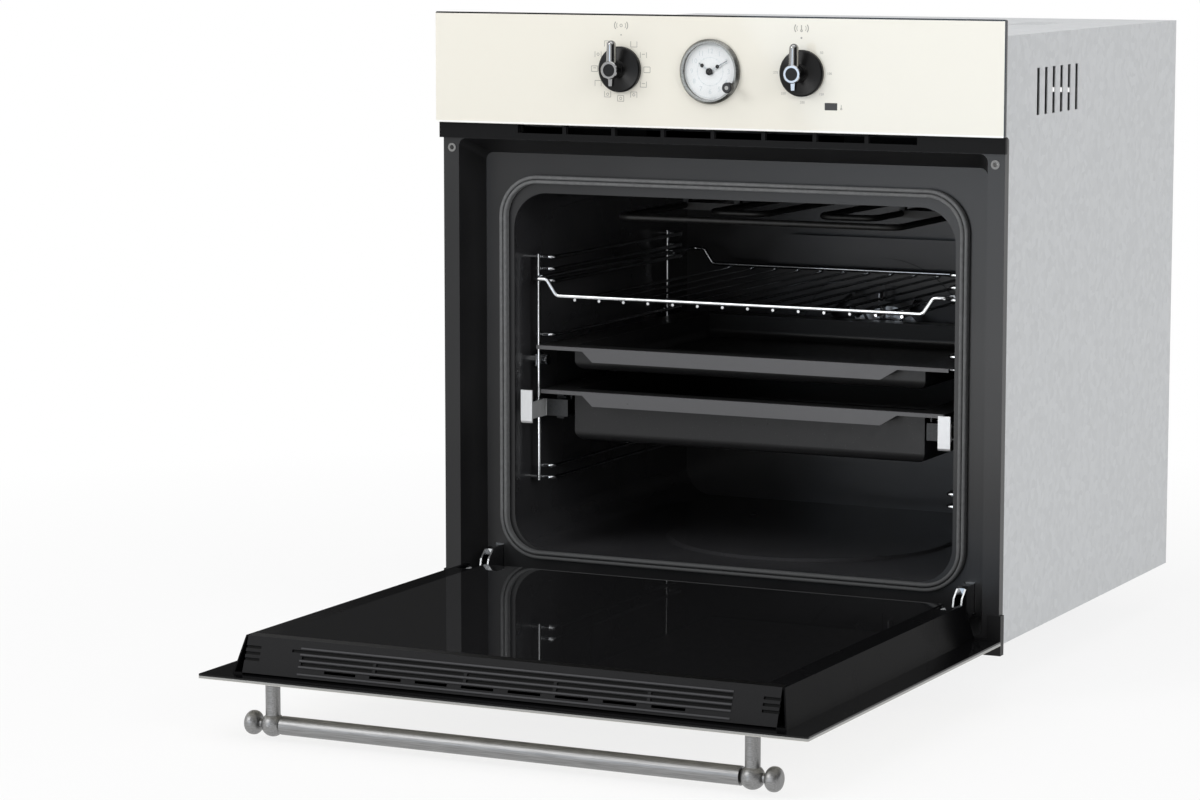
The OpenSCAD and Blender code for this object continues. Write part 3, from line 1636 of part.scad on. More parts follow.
// Closely wound spring, with the rod that it pulls on
module hinge_springs() {
  y = (channel_y0 + channel_y1) / 2 + 2;
  z0 = 90;
  z1 = channel_z1 - channel_t - 6;
  coil_n = 9;
  pitch = (z1 - z0) / coil_n;
  color("gray")
    laid_open()
      both_sides() {
        rod([hinge_x, y, z0 - 6], [hinge_x, y, channel_z1 - channel_t], 2);
        for (i = [0 : coil_n - 1])
          translate([hinge_x, y, z0 + (i + 0.5) * pitch])
            cylinder(h = pitch * 0.75, r = spring_d / 2, center = true);
      }
}

module door_outer_glass() {
  color("#101012")
    laid_open()
      difference() {
        facing(front_y, glass_y)
          rounded_z(front_w, door_z0, door_z1, 2);
        both_sides()
          pin_y(post_x, handle_z, front_y - over, glass_y + over, 3);
      }
}

module door_middle_glass() {
  y0 = (glass_y + inner_y) / 2 - middle_t / 2;
  z0 = box_bottom(y0) + profile_t + 3;
  color("#303436", 0.6)
    laid_open()
      block([-inner_x + 1, inner_x - 1], [y0, y0 + middle_t], [z0, inner_z1 - 1]);
}

module door_inner_glass() {
  color("#0c0c0e")
    laid_open()
      facing(inner_y - glass_t, inner_y)
        translate([-inner_x, box_back_z0])
          square([2 * inner_x, inner_z1 - box_back_z0]);
}

// Folded side wall of the door's box, with the glossy strip beside the inner glass
module door_side_profiles() {
  notch_w = channel_w + 1.5;
  color("#141416")
    laid_open()
      both_sides()
        difference() {
          intersection() {
            linear_extrude(front_h)
              polygon([
                [box_front_x - 10, glass_y],
                [box_front_x, glass_y],
                [box_back_x, inner_y],
                [inner_x, inner_y],
                [inner_x, inner_y - profile_t],
                [box_x(inner_y - profile_t) - profile_t, inner_y - profile_t],
                [box_x(glass_y + profile_t) - profile_t, glass_y + profile_t],
                [box_front_x - 10, glass_y + profile_t]
              ]);
            crosswise(0, front_w)
              polygon([
                [glass_y, box_front_z0],
                [glass_y, box_front_z1],
                [inner_y, box_back_z1],
                [inner_y, box_back_z0]
              ]);
          }
          block([hinge_x - notch_w / 2, hinge_x + notch_w / 2], [inner_y - 4, inner_y + over],
            [0, arm_z0 + arm_h + 3]);
          block([0, moulding_x + apart], [inner_y - 4, inner_y + over], [inner_z1, front_h]);
        }
}

module door_bottom_profile() {
  color("#141416")
    laid_open()
      crosswise(-inner_x, inner_x)
        polygon([
          [glass_y, box_front_z0],
          [inner_y, box_back_z0 - apart],
          [inner_y - 7, box_back_z0 - apart],
          [inner_y - 7, box_bottom(inner_y - 7) + profile_t],
          [3.5, box_bottom(3.5) + profile_t],
          [3.5, box_bottom(3.5) + profile_t + 5],
          [3, box_bottom(3.5) + profile_t + 5],
          [3, box_bottom(0) + profile_t + 2],
          [-2, box_bottom(0) + profile_t + 2],
          [-2, box_bottom(-2) + profile_t],
          [glass_y + profile_t, box_bottom(glass_y + profile_t) + profile_t],
          [glass_y + profile_t, box_front_z0 + 12],
          [glass_y, box_front_z0 + 12]
        ]);
}

// Louvred top of the door's box: grooves, open slots and two end blocks
module door_vent_moulding() {
  slot_x = [-203, -127, -36, 52, 142];
  slot_end = moulding_x - 43.5;
  window_x0 = -178;
  window_pitch = 46;
  window_w = 32;
  color("#1a1a1c")
    laid_open()
      difference() {
        crosswise(-moulding_x, moulding_x)
          polygon([
            [glass_y + profile_t, inner_z1 - 6],
            [glass_y + profile_t, box_top(glass_y + profile_t)],
            [inner_y, box_back_z1],
            [inner_y, inner_z1 + apart],
            [inner_y - moulding_t, inner_z1 + apart],
            [inner_y - moulding_t, box_top(inner_y - moulding_t) - moulding_t],
            [glass_y + profile_t + moulding_t, box_top(glass_y + profile_t + moulding_t) - moulding_t],
            [glass_y + profile_t + moulding_t, inner_z1 - 6]
          ]);
        translate([0, inner_y, box_back_z1])
          rotate([-box_top_angle, 0, 0]) {
            block([47.5 - moulding_x, slot_end], [-9 - groove_h, -9], [-groove_depth, over]);
            for (i = [0 : len(slot_x) - 1]) {
              slot_e = i < len(slot_x) - 1 ? slot_x[i + 1] - 3 : slot_end;
              for (k = [1, 2])
                block([slot_x[i], slot_e], [-9 - k * groove_pitch - groove_h, -9 - k * groove_pitch],
                  [-groove_depth, over]);
            }
            for (i = [0 : 7])
              block([window_x0 + i * window_pitch, window_x0 + i * window_pitch + window_w],
                [-9 - 3 * groove_pitch - groove_h, -9 - 3 * groove_pitch],
                [-moulding_t - over, over]);
            for (s = [-1, 1])
              for (k = [0 : 2])
                translate([s * (moulding_x - 7.5) - 8, -9 - k * groove_pitch - groove_h, -groove_depth])
                  cube([16, groove_h, groove_depth + over]);
          }
      }
}

module handle_bar() {
  color("gray")
    laid_open()
      union() {
        pin_x(handle_y, handle_z, -post_x + ball_d / 2 - 1, post_x - ball_d / 2 + 1, bar_d / 2);
        pin_x(handle_y, handle_z, -post_x - end_knob_x, post_x + end_knob_x, neck_d / 2);
        both_sides()
          translate([post_x + end_knob_x - end_knob_w / 2, handle_y, handle_z])
            rotate([0, 90, 0])
              rotate_extrude()
                intersection() {
                  translate([0, end_knob_w / 2])
                    rounded(end_knob_d, end_knob_w, end_knob_w / 2 - 0.5);
                  square([end_knob_d, end_knob_w]);
                }
      }
}

// Post with its foot on the glass and the ball that the bar runs through
module handle_posts() {
  color("gray")
    laid_open()
      both_sides()
        difference() {
          union() {
            pin_y(post_x, handle_z, handle_y, front_y, post_d / 2);
            pin_y(post_x, handle_z, front_y - 2, front_y, post_d / 2 + 1.5);
            translate([post_x, handle_y, handle_z])
              sphere(ball_d / 2);
          }
          pin_x(handle_y, handle_z, post_x - ball_d, post_x - ball_d / 2 + 1.5, bar_d / 2 + 0.02);
          pin_x(handle_y, handle_z, post_x - ball_d, post_x + ball_d, neck_d / 2 + 0.02);
          pin_y(post_x, handle_z, front_y - 14, front_y + over, 2.5);
        }
}

front_frame();
fixing_bushes();
lower_trim();
vent_strip();
control_panel_glass();
panel_bracket();
selector_switch();
selector_knob();
thermostat_body();
thermostat_sensor();
thermostat_knob();
clock_case();
clock_dial();
clock_glass();
clock_hour_hand();
clock_minute_hand();
clock_set_knob();
indicator_lamp();
cavity_shell();
door_seal();
fan_cover();
convection_fan();
convection_motor();
ring_element();
grill_element();
bottom_element();
lamp_glass();
lamp_bulb();
lamp_holder();
side_rack_left();
side_rack_right();
rack_nuts();
wire_shelf();
shallow_tray();
deep_tray();
runner_fixed_rails();
runner_middle_members();
runner_inner_members();
insulation_wrap();
side_casings();
top_casing();
back_cover();
base_plate();
cooling_fan_housing();
cooling_fan_rotor();
cooling_fan_motor();
terminal_box();
hinge_arms();
hinge_receivers();
hinge_channels();
hinge_pins();
hinge_springs();
door_outer_glass();
door_middle_glass();
door_inner_glass();
door_side_profiles();
door_bottom_profile();
door_vent_moulding();
handle_bar();
handle_posts();
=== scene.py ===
"""Built-in oven with its door open: finishes, print, wire shelf, moulding ribs and a studio."""

import math

import bmesh
import bpy
from bpy.props import FloatProperty, FloatVectorProperty, PointerProperty
from mathutils import Matrix, Vector


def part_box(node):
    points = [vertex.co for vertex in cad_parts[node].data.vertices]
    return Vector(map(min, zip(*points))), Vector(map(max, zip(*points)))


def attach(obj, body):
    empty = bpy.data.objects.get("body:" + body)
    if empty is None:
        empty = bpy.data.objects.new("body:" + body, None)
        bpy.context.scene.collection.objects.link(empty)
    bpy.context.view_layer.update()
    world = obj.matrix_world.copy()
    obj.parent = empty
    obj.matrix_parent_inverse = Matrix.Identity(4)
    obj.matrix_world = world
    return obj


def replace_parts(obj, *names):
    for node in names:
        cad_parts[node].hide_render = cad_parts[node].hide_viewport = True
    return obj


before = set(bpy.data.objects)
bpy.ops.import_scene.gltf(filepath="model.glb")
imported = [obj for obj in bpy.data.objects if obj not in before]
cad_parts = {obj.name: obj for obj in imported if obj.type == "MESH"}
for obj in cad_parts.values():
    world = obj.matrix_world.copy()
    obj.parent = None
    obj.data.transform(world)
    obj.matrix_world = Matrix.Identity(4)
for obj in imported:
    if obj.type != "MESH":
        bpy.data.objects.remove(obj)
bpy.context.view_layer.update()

bl_info = {
    "name": "Built-in oven",
    "version": (1, 0, 0),
    "blender": (4, 5, 0),
    "location": "View3D > Sidebar > Oven",
    "description": "Dresses a built-in oven with its door open",
    "category": "Object",
}

MM = 0.001

# Places on the oven in millimetres: x from its middle, y from the cabinet's face, z from its base.
KNOB_X, KNOB_Z = 95.0, 542.0
CLOCK_Z = 541.7
STEM_X, STEM_Z = 24.7, 527.4

# Front and back of the ink on the panel's glass and on the dial.
PANEL_PRINT = (-20.06, -19.98)
DIAL_PRINT = (-20.85, -20.78)

# How far the clock's hands are turned from the top, clockwise, in degrees.
HOUR_TURN, MINUTE_TURN = 305, 60

# How far the vent moulding's face leans from upright, in degrees.
MOULDING_LEAN = 20.46


# ---------------------------------------------------------------- colours and nodes


def linear(code):
    """A hex colour as written in a picture, turned to the linear values that the shaders take."""
    values = [int(code[i : i + 2], 16) / 255 for i in (1, 3, 5)]
    lit = [v / 12.92 if v <= 0.04045 else ((v + 0.055) / 1.055) ** 2.4 for v in values]
    return (*lit, 1.0)


def add(tree, kind, inputs=None, **settings):
    """Adds one node, sets it up, and fills or links its inputs."""
    node = tree.nodes.new(kind)
    for name, value in settings.items():
        setattr(node, name, value)
    for name, value in (inputs or {}).items():
        socket = node.inputs[name] if isinstance(name, int) else next(
            i for i in node.inputs if i.name == name and i.enabled
        )
        if isinstance(value, bpy.types.NodeSocket):
            tree.links.new(value, socket)
        else:
            socket.default_value = value
    return node


def rgba(colour):
    """A colour for a shader, from a hex code or from a user's linear colour."""
    return linear(colour) if isinstance(colour, str) else tuple(colour)


def begin(name, colour, roughness, **sockets):
    """A new material: gives it back with its tree, its shader and the place on the object."""
    material = bpy.data.materials.new(name)
    material.use_nodes = True
    tree = material.node_tree
    tree.nodes.clear()
    shader = add(
        tree, "ShaderNodeBsdfPrincipled", {"Base Color": rgba(colour), "Roughness": roughness}
    )
    for key, value in sockets.items():
        shader.inputs[key.replace("_", " ")].default_value = value
    add(tree, "ShaderNodeOutputMaterial", {"Surface": shader.outputs["BSDF"]})
    place = add(tree, "ShaderNodeTexCoord").outputs["Object"]
    material.diffuse_color = rgba(colour)
    return material, tree, shader, place


def tint(tree, shader, factor, dark, pale, low=0.0, high=1.0):
    """Colours the shader from dark to pale as a pattern goes from low to high."""
    ramp = add(tree, "ShaderNodeValToRGB", {"Fac": factor})
    for element, position, colour in zip(ramp.color_ramp.elements, (low, high), (dark, pale)):
        element.position = position
        element.color = rgba(colour)
    tree.links.new(ramp.outputs["Color"], shader.inputs["Base Color"])
    return ramp


def roughen(tree, shader, factor, smooth, rough):
    """Lets the roughness run from smooth to rough with a pattern."""
    span = add(tree, "ShaderNodeMapRange", {"Value": factor, "To Min": smooth, "To Max": rough})
    tree.links.new(span.outputs["Result"], shader.inputs["Roughness"])


def relief(tree, shader, height, depth_mm, strength):
    """Bump of a real depth, in millimetres."""
    bump = add(
        tree, "ShaderNodeBump", {"Height": height, "Distance": depth_mm * MM, "Strength": strength}
    )
    tree.links.new(bump.outputs["Normal"], shader.inputs["Normal"])


def ramped(tree, value, start_mm, end_mm):
    """Goes from 0 to 1 as a length on the object runs between two sizes in millimetres."""
    limits = {"From Min": start_mm * MM, "From Max": end_mm * MM}
    return add(tree, "ShaderNodeMapRange", {"Value": value, **limits}).outputs["Result"]


def banded(tree, value, span, bands):
    """Bands of colour across a piece: each begins at its place along a length, in millimetres."""
    low, high = span
    ramp = add(tree, "ShaderNodeValToRGB", {"Fac": ramped(tree, value, low, high)})
    ramp.color_ramp.interpolation = "CONSTANT"
    while len(ramp.color_ramp.elements) < len(bands):
        ramp.color_ramp.elements.new(1.0)
    for element, (start, colour) in zip(ramp.color_ramp.elements, bands):
        element.position = (start - low) / (high - low)
        element.color = rgba(colour)
    return ramp.outputs["Color"]


def blended(tree, factor, first, second):
    """Mixes two colours, each a hex code or a socket."""
    a, b = (c if isinstance(c, bpy.types.NodeSocket) else rgba(c) for c in (first, second))
    mix = add(tree, "ShaderNodeMix", {"Factor": factor, "A": a, "B": b}, data_type="RGBA")
    return mix.outputs["Result"]


def from_axis(tree, place, x, z):
    """How far a place is from an axis that runs from front to back, given in millimetres."""
    middle = (x * MM, 0.0, z * MM)
    out = add(tree, "ShaderNodeVectorMath", {0: place, 1: middle}, operation="SUBTRACT")
    flat = add(
        tree,
        "ShaderNodeVectorMath",
        {0: out.outputs["Vector"], 1: (1.0, 0.0, 1.0)},
        operation="MULTIPLY",
    )
    away = add(tree, "ShaderNodeVectorMath", {0: flat.outputs["Vector"]}, operation="LENGTH")
    return away.outputs["Value"]


def per_metre(size_mm):
    """The scale of a pattern whose grain has this size."""
    return 1000.0 / size_mm


# ---------------------------------------------------------------- finishes


def chosen():
    """The sizes and colours that a user can change."""
    return bpy.context.scene.oven_pieces


def vitreous_enamel():
    """Glass fused on steel: smooth and dark, with the faint ripple of a coat that has flowed."""
    colour, gloss = "#313133", 0.22
    material, tree, shader, place = begin(
        "black_vitreous_enamel", colour, gloss, Specular_IOR_Level=0.4
    )
    ripple = add(tree, "ShaderNodeTexNoise", {"Vector": place, "Scale": per_metre(9)})
    cloud = add(
        tree, "ShaderNodeTexNoise", {"Vector": place, "Scale": per_metre(120), "Detail": 3.0}
    )
    tint(tree, shader, cloud.outputs["Fac"], colour, "#3B3B3D", 0.35, 0.7)
    roughen(tree, shader, cloud.outputs["Fac"], gloss * 0.8, gloss * 1.35)
    relief(tree, shader, ripple.outputs["Fac"], 0.05, 0.5)
    return material


def tray_enamel():
    """Grey-black enamel with the fine pale specks of a baking tray, and painted light on its lip.
    """
    speck_and_lit_lip, dark = "#5C5C5E", "#232324"
    lip_ends = (48.0, 48.6)  # y
    material, tree, shader, place = begin(
        "speckled_tray_enamel", "#2A2A2B", 0.3, Specular_IOR_Level=0.3
    )
    speck = add(tree, "ShaderNodeTexVoronoi", {"Vector": place, "Scale": per_metre(3.2)})
    body = tint(tree, shader, speck.outputs["Distance"], speck_and_lit_lip, dark, 0.03, 0.1)
    where = add(tree, "ShaderNodeSeparateXYZ", {"Vector": place})
    # Painted light: in front of y 48 mm the lip takes the specks' pale grey, as if lit, against the
    # tray behind it in the cavity's shade.
    behind = ramped(tree, where.outputs["Y"], *lip_ends)
    shade = blended(tree, behind, speck_and_lit_lip, body.outputs["Color"])
    tree.links.new(shade, shader.inputs["Base Color"])
    ripple = add(tree, "ShaderNodeTexNoise", {"Vector": place, "Scale": per_metre(7)})
    roughen(tree, shader, ripple.outputs["Fac"], 0.24, 0.4)
    relief(tree, shader, ripple.outputs["Fac"], 0.06, 0.5)
    return material


def satin_frame_enamel():
    """The frame's enamel is baked to a satin, so it takes soft broad lights."""
    material, tree, shader, place = begin(
        "satin_frame_enamel", "#1D1D1E", 0.3, Specular_IOR_Level=0.35
    )
    grain = add(tree, "ShaderNodeTexNoise", {"Vector": place, "Scale": per_metre(1.6)})
    cloud = add(tree, "ShaderNodeTexNoise", {"Vector": place, "Scale": per_metre(90)})
    tint(tree, shader, cloud.outputs["Fac"], "#1B1B1C", "#212122", 0.3, 0.7)
    roughen(tree, shader, cloud.outputs["Fac"], 0.26, 0.34)
    relief(tree, shader, grain.outputs["Fac"], 0.02, 0.5)
    return material


def powder_coat(name="black_powder_coat", colour="#131314", gloss=0.25):
    """Baked powder on steel: satin, with a fine orange peel."""
    material, tree, shader, place = begin(name, colour, 0.42, Specular_IOR_Level=gloss)
    peel = add(
        tree, "ShaderNodeTexNoise", {"Vector": place, "Scale": per_metre(1.2), "Detail": 1.0}
    )
    roughen(tree, shader, peel.outputs["Fac"], 0.36, 0.5)
    relief(tree, shader, peel.outputs["Fac"], 0.03, 0.6)
    return material


def gloss_black_paint():
    """Black lacquer on the door's folded profiles: soft gloss, with a slow ripple of the sheet."""
    material, tree, shader, place = begin(
        "gloss_black_lacquer", "#0B0B0C", 0.26, Specular_IOR_Level=0.02
    )
    wave = add(tree, "ShaderNodeTexNoise", {"Vector": place, "Scale": per_metre(45)})
    roughen(tree, shader, wave.outputs["Fac"], 0.2, 0.32)
    relief(tree, shader, wave.outputs["Fac"], 0.04, 0.4)
    return material


def black_plastic():
    """Heat-proof moulded plastic with a spark-eroded grain."""
    colour = "#141415"
    material, tree, shader, place = begin(
        "black_moulded_plastic", colour, 0.5, Specular_IOR_Level=0.2
    )
    grain = add(tree, "ShaderNodeTexNoise", {"Vector": place, "Scale": per_metre(0.8)})
    tint(tree, shader, grain.outputs["Fac"], colour, "#1B1B1C", 0.4, 0.8)
    roughen(tree, shader, grain.outputs["Fac"], 0.42, 0.6)
    relief(tree, shader, grain.outputs["Fac"], 0.03, 0.6)
    return material


def louvred_plastic():
    """The vent moulding's plastic: a painted highlight on its ribs, and painted shade, black, where
    the louvres are sunk.
    """
    louvres_sink, ribs_stand = (431.4, 430.9), (431.95, 432.25)  # along the face's normal
    material, tree, shader, place = begin(
        "louvred_black_plastic", "#1F1F20", 0.45, Specular_IOR_Level=0.08
    )
    lean = math.radians(MOULDING_LEAN)
    normal = (0.0, -math.cos(lean), math.sin(lean))
    out = add(tree, "ShaderNodeVectorMath", {0: place, 1: normal}, operation="DOT_PRODUCT")
    grain = add(tree, "ShaderNodeTexNoise", {"Vector": place, "Scale": per_metre(0.8)})
    face = tint(tree, shader, grain.outputs["Fac"], "#1C1C1D", "#232324", 0.3, 0.7)
    # Painted highlight: the faces that stand proud, on the ribs, are painted paler.
    proud = ramped(tree, out.outputs["Value"], *ribs_stand)
    ribs = blended(tree, proud, face.outputs["Color"], "#4A4A4C")
    # Painted shade: the louvres' sunk floors are painted black.
    sunk = ramped(tree, out.outputs["Value"], *louvres_sink)
    tree.links.new(blended(tree, sunk, ribs, "#040404"), shader.inputs["Base Color"])
    roughen(tree, shader, grain.outputs["Fac"], 0.4, 0.55)
    relief(tree, shader, grain.outputs["Fac"], 0.03, 0.6)
    return material


def hand_lacquer():
    """The clock's hands: black round the hub and at the spot, pale between, grey at the tip."""
    material, tree, shader, place = begin("lacquered_clock_hand", "#0B0B0B", 0.4)
    bands = ((0, "#0B0B0B"), (3.6, "#B4BABD"), (8.0, "#0B0B0B"), (11.6, "#83888B"))
    shade = banded(tree, from_axis(tree, place, 0.0, CLOCK_Z), (0, 24), bands)
    tree.links.new(shade, shader.inputs["Base Color"])
    fine = add(tree, "ShaderNodeTexNoise", {"Vector": place, "Scale": per_metre(1.5)})
    roughen(tree, shader, fine.outputs["Fac"], 0.34, 0.5)
    return material


def stem_finish():
    """Black turned plastic, with a small painted highlight in the middle of its face."""
    black, highlight_radius = "#0E0E0F", 1.9
    face_ends = (-37.2, -37.0)  # y
    material, tree, shader, place = begin("black_plastic_with_painted_highlight", black, 0.35)
    # Painted highlight: a pale grey spot in the middle of the knob's front face.
    bands = ((0, "#A3A3A1"), (highlight_radius, black))
    shade = banded(tree, from_axis(tree, place, STEM_X, STEM_Z), (0, 8), bands)
    where = add(tree, "ShaderNodeSeparateXYZ", {"Vector": place})
    behind = ramped(tree, where.outputs["Y"], *face_ends)
    tree.links.new(blended(tree, behind, shade, black), shader.inputs["Base Color"])
    fine = add(tree, "ShaderNodeTexNoise", {"Vector": place, "Scale": per_metre(1.0)})
    roughen(tree, shader, fine.outputs["Fac"], 0.3, 0.45)
    return material


def silicone():
    """Grey silicone rubber: matt and a little dusty, darker towards the bottom."""
    darkening_ends = (52.0, 100.0)  # z
    material, tree, shader, place = begin(
        "grey_silicone_rubber", "#717273", 0.8, Specular_IOR_Level=0.2
    )
    dust = add(tree, "ShaderNodeTexNoise", {"Vector": place, "Scale": per_metre(4), "Detail": 4.0})
    dusted = tint(tree, shader, dust.outputs["Fac"], "#6B6C6D", "#777879", 0.3, 0.7)
    where = add(tree, "ShaderNodeSeparateXYZ", {"Vector": place})
    # Darker towards the bottom: the grey darkens from 100 mm down to 52 mm.
    above = ramped(tree, where.outputs["Z"], *darkening_ends)
    shade = blended(tree, above, "#4C4D4E", dusted.outputs["Color"])
    tree.links.new(shade, shader.inputs["Base Color"])
    relief(tree, shader, dust.outputs["Fac"], 0.05, 0.4)
    return material


def chrome_wire():
    """Chromed steel wire: bright and smooth, with faint drawing marks."""
    material, tree, shader, place = begin("chromed_steel_wire", "#D6D8DA", 0.09, Metallic=1.0)
    marks = add(
        tree, "ShaderNodeTexNoise", {"Vector": place, "Scale": per_metre(2.5), "Detail": 3.0}
    )
    tint(tree, shader, marks.outputs["Fac"], "#BFC1C4", "#DEE0E2", 0.3, 0.7)
    roughen(tree, shader, marks.outputs["Fac"], 0.06, 0.16)
    return material


def nickel_steel(name="nickel_plated_steel", dark="#9EA0A3", pale="#C4C6C8", roughness=0.24):
    """Rolled steel strip with a dull nickel plating."""
    material, tree, shader, place = begin(name, pale, roughness, Metallic=1.0)
    along = add(tree, "ShaderNodeMapping", {"Vector": place, "Scale": (1.0, 0.02, 1.0)})
    drawn = add(
        tree,
        "ShaderNodeTexNoise",
        {"Vector": along.outputs["Vector"], "Scale": per_metre(0.7), "Detail": 3.0},
    )
    tint(tree, shader, drawn.outputs["Fac"], dark, pale, 0.3, 0.7)
    roughen(tree, shader, drawn.outputs["Fac"], roughness - 0.06, roughness + 0.12)
    relief(tree, shader, drawn.outputs["Fac"], 0.01, 0.4)
    return material


def galvanised_sheet():
    """Hot-dipped zinc: bright grey, with the faint fine crystals of a skin-passed coat."""
    material, tree, shader, place = begin("galvanised_sheet_steel", "#D2D4D6", 0.54, Metallic=0.3)
    crystal = add(tree, "ShaderNodeTexVoronoi", {"Vector": place, "Scale": per_metre(7)})
    soft = add(tree, "ShaderNodeTexNoise", {"Vector": place, "Scale": per_metre(3), "Detail": 3.0})
    tint(tree, shader, crystal.outputs["Color"], "#CDCFD1", "#D8DADC")
    roughen(tree, shader, soft.outputs["Fac"], 0.48, 0.6)
    relief(tree, shader, soft.outputs["Fac"], 0.01, 0.3)
    return material


def brushed_steel():
    """The handle's brushed steel: light neutral grey, with fine streaks along the bar."""
    material, tree, shader, place = begin("brushed_grey_steel", "#8C8C8C", 0.32, Metallic=1.0)
    along = add(tree, "ShaderNodeMapping", {"Vector": place, "Scale": (0.03, 1.0, 1.0)})
    streak = add(
        tree,
        "ShaderNodeTexNoise",
        {"Vector": along.outputs["Vector"], "Scale": per_metre(0.8), "Detail": 4.0},
    )
    tint(tree, shader, streak.outputs["Fac"], "#828282", "#999999", 0.35, 0.65)
    roughen(tree, shader, streak.outputs["Fac"], 0.34, 0.46)
    relief(tree, shader, streak.outputs["Fac"], 0.008, 0.4)
    return material


def knob_finish():
    """Black moulded knob, with a chromed lever and a chromed rim round its sunk black cap."""
    black = "#0A0A0B"
    lever_starts, rim_starts = (-35.0, -35.3), (6.0, 6.15)  # y, and out from the knob's axis
    material, tree, shader, place = begin(
        "black_knob_with_chromed_lever", black, 0.3, Specular_IOR_Level=0.22
    )
    # The knobs mirror each other about the oven's middle, so one distance serves both.
    where = add(tree, "ShaderNodeSeparateXYZ", {"Vector": place})
    aside = add(tree, "ShaderNodeMath", {0: where.outputs["X"]}, operation="ABSOLUTE")
    one_side = add(
        tree, "ShaderNodeCombineXYZ", {"X": aside.outputs["Value"], "Z": where.outputs["Z"]}
    )
    out = from_axis(tree, one_side.outputs["Vector"], KNOB_X, KNOB_Z)
    proud = ramped(tree, where.outputs["Y"], *lever_starts)
    rim = ramped(tree, out, *rim_starts)
    chrome = add(tree, "ShaderNodeMath", {0: proud, 1: rim}, operation="MULTIPLY").outputs["Value"]
    tree.links.new(blended(tree, chrome, black, "#9C9C9C"), shader.inputs["Base Color"])
    tree.links.new(chrome, shader.inputs["Metallic"])
    smear = add(
        tree, "ShaderNodeTexNoise", {"Vector": place, "Scale": per_metre(3), "Detail": 3.0}
    ).outputs["Fac"]
    satin = add(tree, "ShaderNodeMapRange", {"Value": smear, "To Min": 0.24, "To Max": 0.36})
    bright = add(tree, "ShaderNodeMapRange", {"Value": smear, "To Min": 0.06, "To Max": 0.14})
    sides = {"A": satin.outputs["Result"], "B": bright.outputs["Result"]}
    sheen = add(tree, "ShaderNodeMix", {"Factor": chrome, **sides})
    tree.links.new(sheen.outputs["Result"], shader.inputs["Roughness"])
    return material


def runner_steel():
    """Zinc-plated runner steel: pale on the pressed end plates, dark with use behind them."""
    plate_starts = (216.0, 216.5)  # x, at either side
    material, tree, shader, place = begin("zinc_plated_runner_steel", "#C9CACB", 0.35, Metallic=0.5)
    where = add(tree, "ShaderNodeSeparateXYZ", {"Vector": place})
    aside = add(tree, "ShaderNodeMath", {0: where.outputs["X"]}, operation="ABSOLUTE")
    plate = ramped(tree, aside.outputs["Value"], *plate_starts)
    drawn = add(tree, "ShaderNodeTexNoise", {"Vector": place, "Scale": per_metre(2.5)})
    member = tint(tree, shader, drawn.outputs["Fac"], "#2A2B2C", "#38393A", 0.3, 0.7)
    shade = blended(tree, plate, member.outputs["Color"], "#D4D5D6")
    tree.links.new(shade, shader.inputs["Base Color"])
    roughen(tree, shader, drawn.outputs["Fac"], 0.3, 0.42)
    return material


def element_tube():
    """Steel sheath of a heating element, oxidised dark by the heat."""
    material, tree, shader, place = begin("oxidised_element_sheath", "#1F1F20", 0.5, Metallic=0.4)
    scale = add(tree, "ShaderNodeTexNoise", {"Vector": place, "Scale": per_metre(6), "Detail": 5.0})
    tint(tree, shader, scale.outputs["Fac"], "#1A1A1A", "#2A2928", 0.3, 0.7)
    roughen(tree, shader, scale.outputs["Fac"], 0.34, 0.55)
    relief(tree, shader, scale.outputs["Fac"], 0.03, 0.5)
    return material


def aluminium():
    """Pressed aluminium: pale, with a soft rolled grain."""
    material, tree, shader, place = begin("pressed_aluminium", "#C2C4C6", 0.32, Metallic=1.0)
    grain = add(
        tree, "ShaderNodeTexNoise", {"Vector": place, "Scale": per_metre(1.5), "Detail": 4.0}
    )
    tint(tree, shader, grain.outputs["Fac"], "#AEB0B3", "#CDCFD1", 0.3, 0.7)
    roughen(tree, shader, grain.outputs["Fac"], 0.26, 0.4)
    return material


def mineral_wool():
    """Yellow-grey glass wool: matt and fibrous."""
    material, tree, shader, place = begin("glass_wool", "#C9BF97", 0.95)
    fibre = add(
        tree, "ShaderNodeTexNoise", {"Vector": place, "Scale": per_metre(2.2), "Detail": 6.0}
    )
    tint(tree, shader, fibre.outputs["Fac"], "#AFA377", "#D9D1AE", 0.3, 0.7)
    relief(tree, shader, fibre.outputs["Fac"], 0.8, 0.8)
    return material


def glazed_ceramic():
    """Steatite of the lamp holder: cream white, slightly glazed."""
    material, tree, shader, place = begin("steatite", "#E6E1D6", 0.38)
    body = add(tree, "ShaderNodeTexNoise", {"Vector": place, "Scale": per_metre(3), "Detail": 3.0})
    tint(tree, shader, body.outputs["Fac"], "#DAD4C7", "#EDE9E0", 0.3, 0.7)
    relief(tree, shader, body.outputs["Fac"], 0.04, 0.3)
    return material


def clear_glass(name="clear_glass", roughness=0.02, ior=1.5):
    """Plain soda-lime glass. A lower index stands for the clock's coating against glare."""
    material, tree, shader, place = begin(
        name, "#F8F9F9", roughness, Transmission_Weight=1.0, IOR=ior
    )
    wave = add(tree, "ShaderNodeTexNoise", {"Vector": place, "Scale": per_metre(60)})
    relief(tree, shader, wave.outputs["Fac"], 0.02, 0.15)
    return material


def black_mirror_glass():
    """Toughened glass, printed black behind: deep black with a clear reflection."""
    material, tree, shader, place = begin("black_printed_glass", "#1A1A1B", 0.025, IOR=1.52)
    wave = add(tree, "ShaderNodeTexNoise", {"Vector": place, "Scale": per_metre(150)})
    roughen(tree, shader, wave.outputs["Fac"], 0.015, 0.04)
    return material


